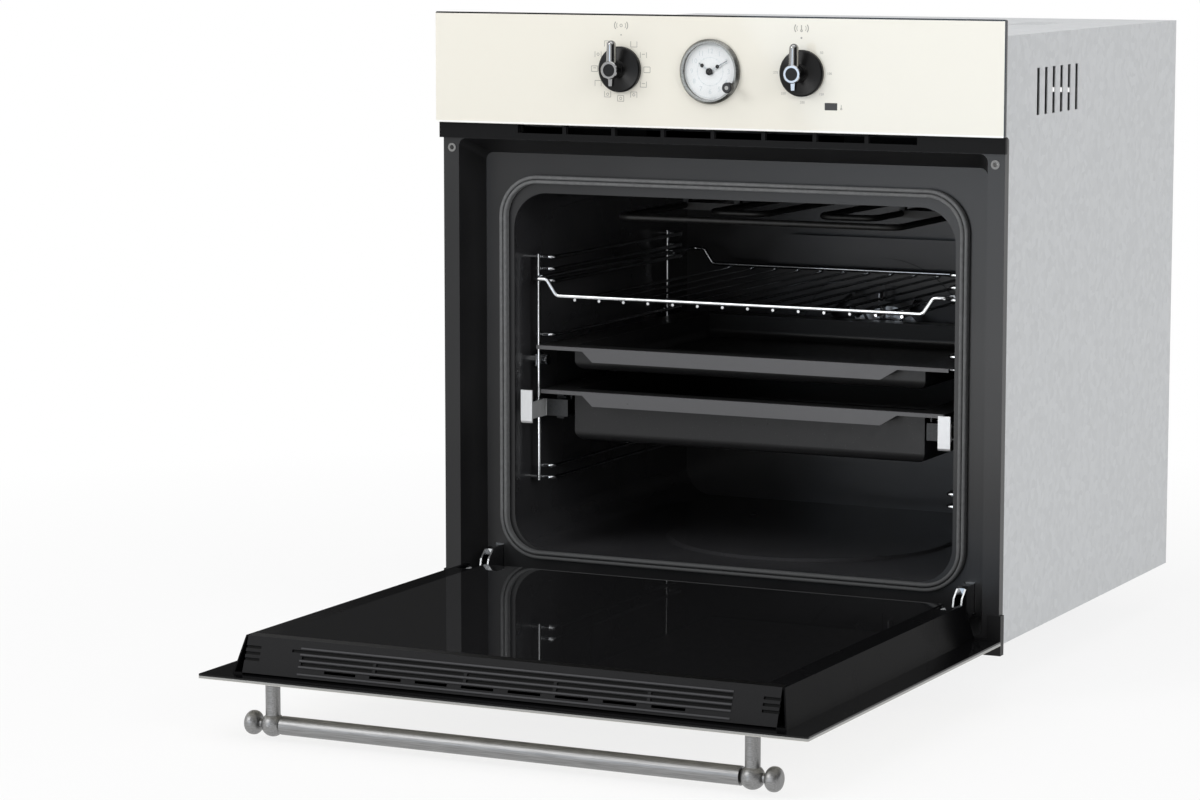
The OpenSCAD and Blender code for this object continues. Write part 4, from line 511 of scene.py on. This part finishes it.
def panel_glass():
    """Toughened glass, painted behind: its lower edge is a bevel with a white painted highlight,
    its others are black.
    """
    black = "#101011"
    # Painted highlight: the lower bevel, up to 488.2 mm, is painted near white.
    heights = ((480, "#FBFBF7"), (488.2, chosen().panel_colour), (593.4, black))
    depths = ((-21, "#FFFFFF"), (-19.7, "#000000"))
    side_starts = (296.2, 296.3)  # x
    material, tree, shader, place = begin(
        "ivory_back_painted_glass", "#EEEBE0", 0.05, Specular_IOR_Level=0.35
    )
    where = add(tree, "ShaderNodeSeparateXYZ", {"Vector": place})
    height = banded(tree, where.outputs["Z"], (480, 600), heights)
    depth = banded(tree, where.outputs["Y"], (-21, -15), depths)
    face = blended(tree, ramped(tree, where.outputs["X"], *side_starts), height, black)
    tree.links.new(blended(tree, depth, black, face), shader.inputs["Base Color"])
    wave = add(tree, "ShaderNodeTexNoise", {"Vector": place, "Scale": per_metre(180)})
    roughen(tree, shader, wave.outputs["Fac"], 0.03, 0.06)
    return material


def door_glass():
    """The door's glass: paint seen from outside, a pale ground edge, and black print inside."""
    paint = chosen().door_colour
    heights = ((10, paint), (10.7, "#A4A4A2"), (12.9, "#0E0E0F"))
    material, tree, shader, place = begin("ivory_door_glass", paint, 0.08, Specular_IOR_Level=0.2)
    where = add(tree, "ShaderNodeSeparateXYZ", {"Vector": place})
    through = banded(tree, where.outputs["Z"], (10, 15), heights)
    tree.links.new(through, shader.inputs["Base Color"])
    wave = add(tree, "ShaderNodeTexNoise", {"Vector": place, "Scale": per_metre(180)})
    roughen(tree, shader, wave.outputs["Fac"], 0.06, 0.1)
    return material


def plain_plastic(name, colour, roughness=0.4):
    """Moulded plastic of one colour with a fine grain."""
    material, tree, shader, place = begin(name, colour, roughness)
    grain = add(tree, "ShaderNodeTexNoise", {"Vector": place, "Scale": per_metre(0.7)})
    roughen(tree, shader, grain.outputs["Fac"], roughness - 0.05, roughness + 0.08)
    relief(tree, shader, grain.outputs["Fac"], 0.02, 0.5)
    return material


def dial_enamel():
    """The clock's white enamelled dial."""
    material, tree, shader, place = begin("white_dial_enamel", "#DADBDC", 0.4)
    cloud = add(tree, "ShaderNodeTexNoise", {"Vector": place, "Scale": per_metre(12)})
    tint(tree, shader, cloud.outputs["Fac"], "#D6D7D8", "#DEDFE0", 0.3, 0.7)
    return material


def printing_ink(name, colour):
    """Screen-printed ink: thin, matt, a little uneven."""
    material, tree, shader, place = begin(name, colour, 0.55)
    speck = add(tree, "ShaderNodeTexNoise", {"Vector": place, "Scale": per_metre(1.0)})
    roughen(tree, shader, speck.outputs["Fac"], 0.5, 0.65)
    return material


FINISHES = {
    "enamel": vitreous_enamel,
    "frame": satin_frame_enamel,
    "tray": tray_enamel,
    "powder": powder_coat,
    "matt": lambda: powder_coat("matt_black_powder_coat", "#0C0C0D", 0.1),
    "lacquer": gloss_black_paint,
    "plastic": black_plastic,
    "moulding": louvred_plastic,
    "hand": hand_lacquer,
    "stem": stem_finish,
    "silicone": silicone,
    "chrome": chrome_wire,
    "nickel": nickel_steel,
    "zinc": galvanised_sheet,
    "steel": brushed_steel,
    "knob": knob_finish,
    "runner": runner_steel,
    "element": element_tube,
    "aluminium": aluminium,
    "wool": mineral_wool,
    "ceramic": glazed_ceramic,
    "glass": clear_glass,
    "coated": lambda: clear_glass("coated_clock_glass", 0.02, 1.15),
    "mirror": black_mirror_glass,
    "panel": panel_glass,
    "door": door_glass,
    "bush": lambda: plain_plastic("light_grey_nylon", "#7A7A79"),
    "bezel": lambda: nickel_steel("grey_clock_bezel", "#767673", "#90908C", 0.26),
    "dial": dial_enamel,
    "lens": lambda: plain_plastic("smoked_lamp_lens", "#20201F", 0.35),
    "ink": lambda: printing_ink("grey_printing_ink", chosen().ink_colour),
    "dial_ink": lambda: printing_ink("pale_dial_ink", chosen().dial_ink_colour),
}

# The CAD nodes that take each finish.
DRESSED = {
    "frame": ("front_frame",),
    "bush": ("fixing_bushes",),
    "powder": ("lower_trim", "panel_bracket"),
    "matt": ("vent_strip", "cooling_fan_housing"),
    "hand": ("clock_hour_hand", "clock_minute_hand"),
    "panel": ("control_panel_glass",),
    "zinc": ("side_casings", "top_casing", "back_cover", "base_plate", "thermostat_body")
    + ("convection_motor", "cooling_fan_motor", "hinge_receivers", "hinge_channels"),
    "plastic": ("selector_switch", "terminal_box"),
    "moulding": ("door_vent_moulding",),
    "stem": ("clock_set_knob",),
    "knob": ("selector_knob", "thermostat_knob"),
    "steel": ("handle_bar", "handle_posts"),
    "element": ("thermostat_sensor", "ring_element", "grill_element", "bottom_element"),
    "bezel": ("clock_case",),
    "dial": ("clock_dial",),
    "glass": ("lamp_glass", "lamp_bulb", "door_middle_glass"),
    "coated": ("clock_glass",),
    "lens": ("indicator_lamp",),
    "enamel": ("cavity_shell", "fan_cover"),
    "silicone": ("door_seal",),
    "aluminium": ("convection_fan", "cooling_fan_rotor"),
    "ceramic": ("lamp_holder",),
    "chrome": ("side_rack_left", "side_rack_right", "rack_nuts", "wire_shelf", "hinge_arms"),
    "tray": ("shallow_tray", "deep_tray"),
    "runner": ("runner_fixed_rails", "runner_middle_members", "runner_inner_members"),
    "nickel": ("hinge_pins", "hinge_springs"),
    "wool": ("insulation_wrap",),
    "door": ("door_outer_glass",),
    "mirror": ("door_inner_glass",),
    "lacquer": ("door_side_profiles", "door_bottom_profile"),
}
made = {}


def finish(key):
    """The finish of that name, made once."""
    if key not in made:
        made[key] = FINISHES[key]()
    return made[key]


def dress(key, names):
    """Gives CAD nodes their finish."""
    for name in names:
        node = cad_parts[name]
        for slot in node.material_slots:
            slot.material = finish(key)
        if not node.material_slots:
            node.data.materials.append(finish(key))


# ---------------------------------------------------------------- shapes


def placed(name, data):
    """A new object in the scene."""
    made_object = bpy.data.objects.new(name, data)
    bpy.context.scene.collection.objects.link(made_object)
    return made_object


def piece(name, bm, key, body, angle=35.0):
    """A finished piece from a bmesh drawn in place, smooth up to an angle, riding on its body."""
    bmesh.ops.recalc_face_normals(bm, faces=bm.faces)
    for face in bm.faces:
        face.smooth = True
    mesh = bpy.data.meshes.new(name)
    bm.to_mesh(mesh)
    bm.free()
    mesh.set_sharp_from_angle(angle=math.radians(angle))
    made_piece = placed(name, mesh)
    mesh.materials.append(finish(key))
    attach(made_piece, body)
    return made_piece


def on_ring(x, z, radius, turn):
    """The place on a ring round a middle at an angle in degrees, clockwise from the top."""
    turn = math.radians(turn)
    return x + radius * math.sin(turn), z + radius * math.cos(turn)


def stroke(bm, x, z, width, height, depth, turn=0.0):
    """A straight printed stroke on an upright face, turned clockwise. Sizes are in millimetres."""
    front, back = depth
    matrix = (
        Matrix.Translation((x * MM, (front + back) / 2 * MM, z * MM))
        @ Matrix.Rotation(math.radians(turn), 4, "Y")
        @ Matrix.Diagonal((width * MM, (back - front) * MM, height * MM, 1.0))
    )
    bmesh.ops.create_cube(bm, size=1.0, matrix=matrix)


def arc(bm, x, z, radius, width, start, sweep, depth, steps=16):
    """A printed arc on an upright face, in millimetres and in degrees clockwise from the top."""
    front, back = depth
    s, c = math.sin(math.radians(start)), math.cos(math.radians(start))
    inner, outer = radius - width / 2, radius + width / 2
    corners = ((inner, front), (outer, front), (outer, back), (inner, back))
    verts = [bm.verts.new(((x + r * s) * MM, y * MM, (z + r * c) * MM)) for r, y in corners]
    face = bm.faces.new(verts)
    full = abs(sweep) >= 360
    bmesh.ops.spin(
        bm,
        geom=verts + list(face.edges) + [face],
        cent=(x * MM, 0.0, z * MM),
        axis=(0.0, 1.0, 0.0),
        angle=math.radians(sweep),
        steps=steps,
        use_merge=full,
    )
    if full:
        bmesh.ops.delete(bm, geom=[face], context="FACES_ONLY")


def edges_of(verts):
    """The edges at vertices, each once, and in the same order each run."""
    return list(dict.fromkeys(e for v in verts for e in v.link_edges))


def rounded(bm, edges, rim):
    """Rounds edges a little. The size is in millimetres."""
    bmesh.ops.bevel(
        bm, geom=edges, offset=rim * MM, affect="EDGES", segments=2, profile=0.5, material=-1
    )


def button(bm, x, z, radius, face_y, height):
    """A low round button with a rounded rim on an upright face. Sizes are in millimetres."""
    sunk, rim = 0.2, 0.06
    middle = Matrix.Translation((x * MM, (face_y + (sunk - height) / 2) * MM, z * MM))
    made_of = bmesh.ops.create_cone(
        bm,
        cap_ends=True,
        segments=32,
        radius1=radius * MM,
        radius2=radius * MM,
        depth=(height + sunk) * MM,
        matrix=middle @ Matrix.Rotation(math.pi / 2, 4, "X"),
    )
    front = [v for v in made_of["verts"] if v.co.y < face_y * MM]
    rounded(bm, [e for e in edges_of(front) if all(v in front for v in e.verts)], rim)


def drawn_on(geom):
    """The vertices and the edges of a ring that was just drawn on."""
    return (
        [g for g in geom if isinstance(g, bmesh.types.BMVert)],
        [g for g in geom if isinstance(g, bmesh.types.BMEdge)],
    )


def closed_wire(bm, corners, radius, bend, sides=12):
    """A round wire bent into a closed ring through its corners. Sizes are in millimetres."""
    points = [Vector(c) * MM for c in corners]
    radius, bend = radius * MM, bend * MM
    start = (points[-1] + points[0]) / 2
    way = (points[0] - start).normalized()
    turned = way.to_track_quat("Z", "Y").to_matrix().to_4x4()
    verts = bmesh.ops.create_circle(
        bm, segments=sides, radius=radius, matrix=Matrix.Translation(start) @ turned
    )["verts"]
    edges = edges_of(verts)
    here = start
    for i, corner in enumerate(points):
        onward = (points[(i + 1) % len(points)] - corner).normalized()
        angle = way.angle(onward)
        stop = corner - way * bend * math.tan(angle / 2)
        verts, edges = drawn_on(bmesh.ops.extrude_edge_only(bm, edges=edges)["geom"])
        bmesh.ops.translate(bm, verts=verts, vec=stop - here)
        axis = way.cross(onward).normalized()
        middle = stop + axis.cross(way) * bend
        spun = bmesh.ops.spin(bm, geom=verts + edges, cent=middle, axis=axis, angle=angle, steps=5)
        verts, edges = drawn_on(spun["geom_last"])
        here = corner + onward * bend * math.tan(angle / 2)
        way = onward
    verts, edges = drawn_on(bmesh.ops.extrude_edge_only(bm, edges=edges)["geom"])
    bmesh.ops.translate(bm, verts=verts, vec=start - here)
    bmesh.ops.remove_doubles(bm, verts=bm.verts, dist=0.05 * MM)


def rod(bm, start, end, radius, sides=10):
    """A straight round wire with closed ends. Sizes are in millimetres."""
    start, end = Vector(start) * MM, Vector(end) * MM
    turned = (end - start).to_track_quat("Z", "Y").to_matrix().to_4x4()
    bmesh.ops.create_cone(
        bm,
        cap_ends=True,
        segments=sides,
        radius1=radius * MM,
        radius2=radius * MM,
        depth=(end - start).length,
        matrix=Matrix.Translation((start + end) / 2) @ turned,
    )


def lettering(bm, words, x, z, height, depth):
    """Plain figures on an upright face, centred at a place. Sizes are in millimetres."""
    front, back = depth
    capital = 0.7  # the height of a figure as a share of the font's size
    curve = bpy.data.curves.new("figures", "FONT")
    curve.body = words
    curve.size = height / capital * MM
    curve.align_x = "CENTER"
    curve.align_y = "CENTER"
    curve.extrude = (back - front) / 2 * MM
    curve.resolution_u = 3
    text = placed("figures", curve)
    bpy.context.view_layer.update()
    mesh = bpy.data.meshes.new_from_object(text)
    first = len(bm.verts)
    bm.from_mesh(mesh)
    bm.verts.ensure_lookup_table()
    place = Matrix.Translation((x * MM, (front + back) / 2 * MM, z * MM))
    upright = Matrix.Rotation(math.pi / 2, 4, "X")
    bmesh.ops.transform(bm, matrix=place @ upright, verts=bm.verts[first:])
    bpy.data.meshes.remove(mesh)
    bpy.data.objects.remove(text)
    bpy.data.curves.remove(curve)


# ---------------------------------------------------------------- settings


COLOUR = {"size": 4, "subtype": "COLOR", "min": 0.0, "max": 1.0}


class OvenPieceSettings(bpy.types.PropertyGroup):
    panel_colour: FloatVectorProperty(
        name="Panel colour",
        description="Paint behind the control panel's glass",
        default=linear("#EFECE1"),
        **COLOUR,
    )
    door_colour: FloatVectorProperty(
        name="Door colour",
        description="Paint behind the door's outer glass",
        default=linear("#F1EEE3"),
        **COLOUR,
    )
    ink_colour: FloatVectorProperty(
        name="Panel ink",
        description="Ink of the symbols round the knobs",
        default=linear("#A3A19A"),
        **COLOUR,
    )
    dial_ink_colour: FloatVectorProperty(
        name="Dial ink",
        description="Ink of the clock's figures and rings",
        default=linear("#BDC4C7"),
        **COLOUR,
    )
    shelf_bar: FloatProperty(
        name="Shelf bar",
        description="Thickness of the bar round the wire shelf",
        default=4.5 * MM,
        unit="LENGTH",
    )
    shelf_wire: FloatProperty(
        name="Shelf wire",
        description="Thickness of the wires across the wire shelf",
        default=3.0 * MM,
        unit="LENGTH",
    )
    rib_height: FloatProperty(
        name="Rib height",
        description="How far the ribs stand out of the door's vent moulding",
        default=0.8 * MM,
        unit="LENGTH",
    )


class OvenStageSettings(bpy.types.PropertyGroup):
    lens: FloatProperty(
        name="Lens", description="Focal length of the camera", default=114.78, unit="CAMERA"
    )
    lamp_power: FloatProperty(
        name="Lamp power", description="Power of the main softbox", default=42.0, unit="POWER"
    )
    floor_drop: FloatProperty(
        name="Floor drop",
        description="Distance of the floor below the oven",
        default=46.0 * MM,
        unit="LENGTH",
    )


# ---------------------------------------------------------------- pieces


class OVEN_OT_finishes(bpy.types.Operator):
    """Gives every CAD node its finish"""

    bl_idname = "oven.finishes"
    bl_label = "Dress the oven's parts"

    def execute(self, context):
        for key, names in DRESSED.items():
            dress(key, names)
        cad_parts["clock_glass"].visible_shadow = False
        return {"FINISHED"}


def function_symbol(bm, x, z, kind):
    """An open box of thin lines. Its kind adds 1 top, 2 floor, 4 ring and 8 grill lines."""
    w, h, t = 6.6, 5.4, 0.55
    stroke(bm, x - w / 2, z, t, h, PANEL_PRINT)
    stroke(bm, x + w / 2, z, t, h, PANEL_PRINT)
    if kind & 1:
        stroke(bm, x, z + h / 2, w, t, PANEL_PRINT)
    if kind & 2:
        stroke(bm, x, z - h / 2, w, t, PANEL_PRINT)
    if kind & 4:
        arc(bm, x, z, 1.2, t, 0, 360, PANEL_PRINT)
    if kind & 8:
        stroke(bm, x, z + 0.8, w * 0.5, t, PANEL_PRINT)


def bracketed(bm, x, z):
    """Two double brackets, as round the symbol over each knob."""
    for side, start in ((1, 50), (-1, 230)):
        arc(bm, x + side * 1.6, z, 5.4, 0.95, start, 80, PANEL_PRINT, 12)
        arc(bm, x + side * 0.6, z, 4.2, 0.6, start + 6, 68, PANEL_PRINT, 12)


class OVEN_OT_panel_print(bpy.types.Operator):
    """Prints the symbols round the knobs on the panel glass"""

    bl_idname = "oven.panel_print"
    bl_label = "Print the panel"

    def execute(self, context):
        kinds = (2, 8, 3, 10, 5, 7, 6, 1, 11, 4, 9)
        scale = {45: "50", 90: "100", 135: "150", 180: "200", 225: "250", 270: "275"}
        symbol_ring, figure_ring = 28.0, 27.5
        head_z, dot_z = 584.0, 575.0
        left_x, right_x = -KNOB_X + 0.4, KNOB_X - 1.3
        sign_x, sign_z = 134.7, 511.2
        bm = bmesh.new()
        for i, kind in enumerate(kinds):
            function_symbol(bm, *on_ring(-KNOB_X, KNOB_Z, symbol_ring, 30 * (i + 1)), kind)
        bracketed(bm, left_x, head_z)
        arc(bm, left_x, head_z, 1.3, 0.6, 0, 360, PANEL_PRINT)
        arc(bm, left_x, dot_z, 0.35, 0.7, 0, 360, PANEL_PRINT, 12)
        bracketed(bm, right_x, head_z)
        stroke(bm, right_x, head_z + 1.0, 0.9, 4.0, PANEL_PRINT)
        arc(bm, right_x, head_z - 2.2, 0.9, 0.8, 0, 360, PANEL_PRINT)
        arc(bm, right_x, dot_z, 0.5, 1.0, 0, 360, PANEL_PRINT, 12)
        for turn, figures in scale.items():
            lettering(bm, figures, *on_ring(KNOB_X, KNOB_Z, figure_ring, turn), 2.3, PANEL_PRINT)
        stroke(bm, sign_x, sign_z, 0.6, 3.6, PANEL_PRINT)
        arc(bm, sign_x, sign_z - 2.0, 0.7, 0.6, 0, 360, PANEL_PRINT, 12)
        piece("panel_print", bm, "ink", "oven")
        return {"FINISHED"}


class OVEN_OT_dial_print(bpy.types.Operator):
    """Prints the figures and rings of the clock's dial"""

    bl_idname = "oven.dial_print"
    bl_label = "Print the clock's dial"

    def execute(self, context):
        inner_ring, figure_ring, outer_ring = 13.4, 19.3, 25.2
        bm = bmesh.new()
        arc(bm, 0.0, CLOCK_Z, inner_ring, 0.35, 0, 360, DIAL_PRINT, 64)
        arc(bm, 0.0, CLOCK_Z, outer_ring, 0.3, 0, 360, DIAL_PRINT, 64)
        for hour in range(12):
            turn = 30 * hour
            figures = str(hour or 12)
            lettering(bm, figures, *on_ring(0.0, CLOCK_Z, figure_ring, turn), 4.6, DIAL_PRINT)
            stroke(bm, *on_ring(0.0, CLOCK_Z, inner_ring, turn), 0.6, 1.6, DIAL_PRINT, turn)
        piece("dial_print", bm, "dial_ink", "oven")
        return {"FINISHED"}


class OVEN_OT_hand_spots(bpy.types.Operator):
    """Puts the round spots and the hub cover on the clock's hands"""

    bl_idname = "oven.hand_spots"
    bl_label = "Finish the clock's hands"

    def execute(self, context):
        hour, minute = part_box("clock_hour_hand"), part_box("clock_minute_hand")
        spot_ring, spot_radius, hub_radius = 9.8, 1.9, 3.5
        for name, body, face_y, turn in (
            ("hour_spot", "hour_hand", hour[0][1] / MM, HOUR_TURN),
            ("minute_spot", "minute_hand", minute[0][1] / MM, MINUTE_TURN),
        ):
            bm = bmesh.new()
            button(bm, *on_ring(0.0, CLOCK_Z, spot_ring, turn), spot_radius, face_y, 0.15)
            if body == "minute_hand":
                button(bm, 0.0, CLOCK_Z, hub_radius, face_y, 0.25)
            piece(name, bm, "powder", body)
        return {"FINISHED"}


class OVEN_OT_shelf(bpy.types.Operator):
    """Bends the wire shelf: one closed bar, cranked down, and the wires that run across under it"""

    bl_idname = "oven.shelf"
    bl_label = "Make the wire shelf"

    def execute(self, context):
        low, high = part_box("wire_shelf")
        bar, wire = chosen().shelf_bar / 2 / MM, chosen().shelf_wire / 2 / MM
        bend = 6.0
        # The bar slopes from crank_x down to sunk_x.
        sunk_x, crank_x, crank_depth = 195.0, 206.0, 16.0
        wires, outer_x, overhang, weld = 14, 174.2, 1.0, 0.4
        inset = 2.3
        front, back = low[1] / MM + inset, high[1] / MM - inset
        side, top = high[0] / MM - bar, high[2] / MM - bar
        sunk = top - crank_depth
        outward = ((sunk_x, sunk), (crank_x, top), (side, top))
        bm = bmesh.new()
        path = [(-x, front, z) for x, z in outward]
        path += [(-x, back, z) for x, z in reversed(outward)]
        path += [(x, back, z) for x, z in outward]
        path += [(x, front, z) for x, z in reversed(outward)]
        closed_wire(bm, path, bar, bend)
        under = sunk - bar - wire + weld
        for i in range(wires):
            x = outer_x * (2 * i / (wires - 1) - 1)
            rod(bm, (x, front - overhang, under), (x, back + overhang, under), wire)
        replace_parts(piece("wire_shelf_bars", bm, "chrome", "shelf", 50.0), "wire_shelf")
        return {"FINISHED"}


class OVEN_OT_moulding_ribs(bpy.types.Operator):
    """Sets the raised ribs on the vent moulding's slanting face, between the rows of louvres"""

    bl_idname = "oven.moulding_ribs"
    bl_label = "Make the moulding's ribs"

    def execute(self, context):
        proud, sunk = chosen().rib_height / MM, 0.3
        length, width, rim = 423.0, 1.7, 0.3
        # The face starts at its top edge and slants down and forward.
        edge = Vector((6.5, -443.0, 48.0))
        down, out = Vector((0.0, -0.349, -0.937)), Vector((0.0, -0.94, 0.35))
        fall, run = 33.0, 12.3
        size = Matrix.Diagonal((length * MM, width * MM, (proud + sunk) * MM, 1.0))
        turned = Matrix.Rotation(math.atan2(-fall, -run), 4, "X") @ size
        bm = bmesh.new()
        for along in (7.5, 13.1, 18.7, 24.3, 31.0):
            middle = Matrix.Translation((edge + down * along + out * (proud - sunk) / 2) * MM)
            bar = bmesh.ops.create_cube(bm, size=1.0, matrix=middle @ turned)
            rounded(bm, edges_of(bar["verts"]), rim)
        piece("moulding_ribs", bm, "moulding", "door")
        return {"FINISHED"}


# ---------------------------------------------------------------- stage


WHITE = (1.0, 1.0, 1.0, 1.0)

# The camera's place, how far it looks down, and how far it is turned to the left, in degrees.
EYE = (1.5157, -3.3417, 0.7057)
EYE_FALL, EYE_TURN = 7.480, 26.178

# Each softbox: its place, what it is turned to, its size, and its share of the main power.
LAMPS = {
    "softbox_left": ((-2.2, -3.0, 2.2), (0.0, 0.0, 0.3), (2.0, 1.6), 1.0),
    "softbox_right": ((2.8, -1.6, 1.6), (0.0, -0.1, 0.25), (1.4, 1.4), 0.5),
    "softbox_top": ((0.0, -0.8, 2.8), (0.0, 0.0, 0.3), (2.4, 2.0), 0.5),
}

# Each card outside the picture: its colour, its strength and its corners.
CARDS = {
    "white_card": (
        "#DCECFF",
        3.4,
        ((-1.62, -3.34, 0.72), (-1.248, -3.34, 0.2), (-0.45, -3.34, 0.2), (-0.45, -3.34, 0.72)),
    ),
    "floor_card": (
        "#FFFFFF",
        6.0,
        ((-0.28, -1.2, -0.04), (0.1, -1.2, -0.04), (-1.2, -5.3, -0.04), (-2.0, -5.3, -0.04)),
    ),
    "left_black_card": (
        "#303030",
        1.0,
        ((-1.0, 0.35, 0.0), (-0.38, 0.35, 0.0), (-0.38, 0.35, 0.32), (-1.0, 0.35, 0.32)),
    ),
    "right_black_card": (
        "#303030",
        1.0,
        ((1.3, -2.6, -0.04), (1.3, 0.9, -0.04), (1.3, 0.9, 1.4), (1.3, -2.6, 1.4)),
    ),
}


def sheet(name, bm, material):
    """A flat object of the stage from a bmesh."""
    mesh = bpy.data.meshes.new(name)
    bm.to_mesh(mesh)
    bm.free()
    mesh.materials.append(material)
    return placed(name, mesh)


def add_camera(lens):
    """The camera that stands where the photograph was taken."""
    camera = bpy.data.cameras.new("camera")
    camera.lens = lens
    camera.sensor_width = 36.0
    camera.sensor_fit = "HORIZONTAL"
    camera.clip_start, camera.clip_end = 0.05, 60.0
    eye = placed("camera", camera)
    eye.location = EYE
    eye.rotation_euler = (math.radians(90 - EYE_FALL), 0.0, math.radians(EYE_TURN))
    bpy.context.scene.camera = eye


def area_lamp(name, place, target, size, power):
    """A softbox at a place, turned to a target."""
    lamp = bpy.data.lights.new(name, "AREA")
    lamp.shape = "RECTANGLE"
    lamp.size, lamp.size_y = size
    lamp.energy = power
    lit = placed(name, lamp)
    lit.location = place
    lit.rotation_euler = (Vector(target) - Vector(place)).to_track_quat("-Z", "Y").to_euler()


def seen_rays(tree):
    """Is 1 where the camera looks, also through glass or in a mirror, and 0 for a matt surface."""
    path = add(tree, "ShaderNodeLightPath")
    seen = path.outputs["Is Camera Ray"]
    for ray in ("Is Glossy Ray", "Is Transmission Ray"):
        either = add(tree, "ShaderNodeMath", {0: seen, 1: path.outputs[ray]}, operation="MAXIMUM")
        seen = either.outputs["Value"]
    return seen


def white_world():
    """White all round for the eye, dimmer overhead, and a softer white as light."""
    world = bpy.data.worlds.new("white_studio")
    bpy.context.scene.world = world
    world.use_nodes = True
    tree = world.node_tree
    tree.nodes.clear()
    towards = add(tree, "ShaderNodeTexCoord").outputs["Generated"]
    rise = add(tree, "ShaderNodeSeparateXYZ", {"Vector": towards})
    from_to = {"From Min": 0.35, "From Max": 0.9, "To Min": 1.0, "To Max": 0.35}
    dusk = add(tree, "ShaderNodeMapRange", {"Value": rise.outputs["Z"], **from_to})
    strength = add(
        tree,
        "ShaderNodeMapRange",
        {"Value": seen_rays(tree), "To Min": 0.58, "To Max": dusk.outputs["Result"]},
    )
    sky = add(
        tree, "ShaderNodeBackground", {"Color": WHITE, "Strength": strength.outputs["Result"]}
    )
    add(tree, "ShaderNodeOutputWorld", {"Surface": sky.outputs["Background"]})


def pale_floor(drop):
    """A matt floor below the oven, which runs out into plain white away from it."""
    bm = bmesh.new()
    bmesh.ops.create_grid(bm, x_segments=1, y_segments=1, size=6.0)
    bmesh.ops.translate(bm, verts=bm.verts, vec=(0.0, 0.0, -drop))
    material, tree, shader, place = begin("pale_floor", "#F2F2F2", 0.9)
    distance = add(tree, "ShaderNodeVectorMath", {0: place}, operation="LENGTH")
    from_to = {"From Min": 0.7, "From Max": 1.6, "To Min": 0.82, "To Max": 1.0}
    far = add(tree, "ShaderNodeMapRange", {"Value": distance.outputs["Value"], **from_to})
    share = add(
        tree, "ShaderNodeMath", {0: seen_rays(tree), 1: far.outputs["Result"]}, operation="MULTIPLY"
    )
    white = add(tree, "ShaderNodeEmission", {"Color": WHITE, "Strength": 1.0})
    mix = add(
        tree,
        "ShaderNodeMixShader",
        {0: share.outputs["Value"], 1: shader.outputs["BSDF"], 2: white.outputs["Emission"]},
    )
    output = next(n for n in tree.nodes if n.type == "OUTPUT_MATERIAL")
    tree.links.new(mix.outputs["Shader"], output.inputs["Surface"])
    floor = sheet("floor", bm, material)


def studio_card(name, code, strength, corners):
    """A flat card that only shows in reflections, as one that stands outside the picture."""
    bm = bmesh.new()
    bm.faces.new([bm.verts.new(corner) for corner in corners])
    material = bpy.data.materials.new(name)
    material.use_nodes = True
    tree = material.node_tree
    tree.nodes.clear()
    glow = add(tree, "ShaderNodeEmission", {"Color": linear(code), "Strength": strength})
    add(tree, "ShaderNodeOutputMaterial", {"Surface": glow.outputs["Emission"]})
    card = sheet(name, bm, material)
    for ray in ("camera", "diffuse", "transmission", "shadow"):
        setattr(card, f"visible_{ray}", False)


class OVEN_OT_stage(bpy.types.Operator):
    """Makes the camera, the soft lights, the white surroundings and the pale floor"""

    bl_idname = "oven.stage"
    bl_label = "Make the studio"

    def execute(self, context):
        settings = context.scene.oven_stage
        add_camera(settings.lens)
        white_world()
        for name, (place, target, size, share) in LAMPS.items():
            area_lamp(name, place, target, size, settings.lamp_power * share)
        pale_floor(settings.floor_drop)
        for name, card in CARDS.items():
            studio_card(name, *card)
        context.scene.view_settings.view_transform = "Standard"
        return {"FINISHED"}


class OVEN_PT_panel(bpy.types.Panel):
    """Lists the oven's pieces and the studio"""

    bl_idname = "OVEN_PT_panel"
    bl_label = "Built-in oven"
    bl_space_type = "VIEW_3D"
    bl_region_type = "UI"
    bl_category = "Oven"

    def draw(self, context):
        column = self.layout.column()
        for operator in OPERATORS:
            column.operator(operator.bl_idname)
        for settings in (context.scene.oven_pieces, context.scene.oven_stage):
            for name in type(settings).__annotations__:
                column.prop(settings, name)


OPERATORS = (
    OVEN_OT_finishes,
    OVEN_OT_panel_print,
    OVEN_OT_dial_print,
    OVEN_OT_hand_spots,
    OVEN_OT_shelf,
    OVEN_OT_moulding_ribs,
    OVEN_OT_stage,
)
CLASSES = (OvenPieceSettings, OvenStageSettings) + OPERATORS + (OVEN_PT_panel,)


def register():
    for cls in CLASSES:
        bpy.utils.register_class(cls)
    bpy.types.Scene.oven_pieces = PointerProperty(type=OvenPieceSettings)
    bpy.types.Scene.oven_stage = PointerProperty(type=OvenStageSettings)


def unregister():
    del bpy.types.Scene.oven_stage
    del bpy.types.Scene.oven_pieces
    for cls in reversed(CLASSES):
        bpy.utils.unregister_class(cls)


def main():
    register()
    bpy.ops.oven.finishes()
    bpy.ops.oven.panel_print()
    bpy.ops.oven.dial_print()
    bpy.ops.oven.hand_spots()
    bpy.ops.oven.shelf()
    bpy.ops.oven.moulding_ribs()
    bpy.ops.oven.stage()


if __name__ == "__main__":
    main()
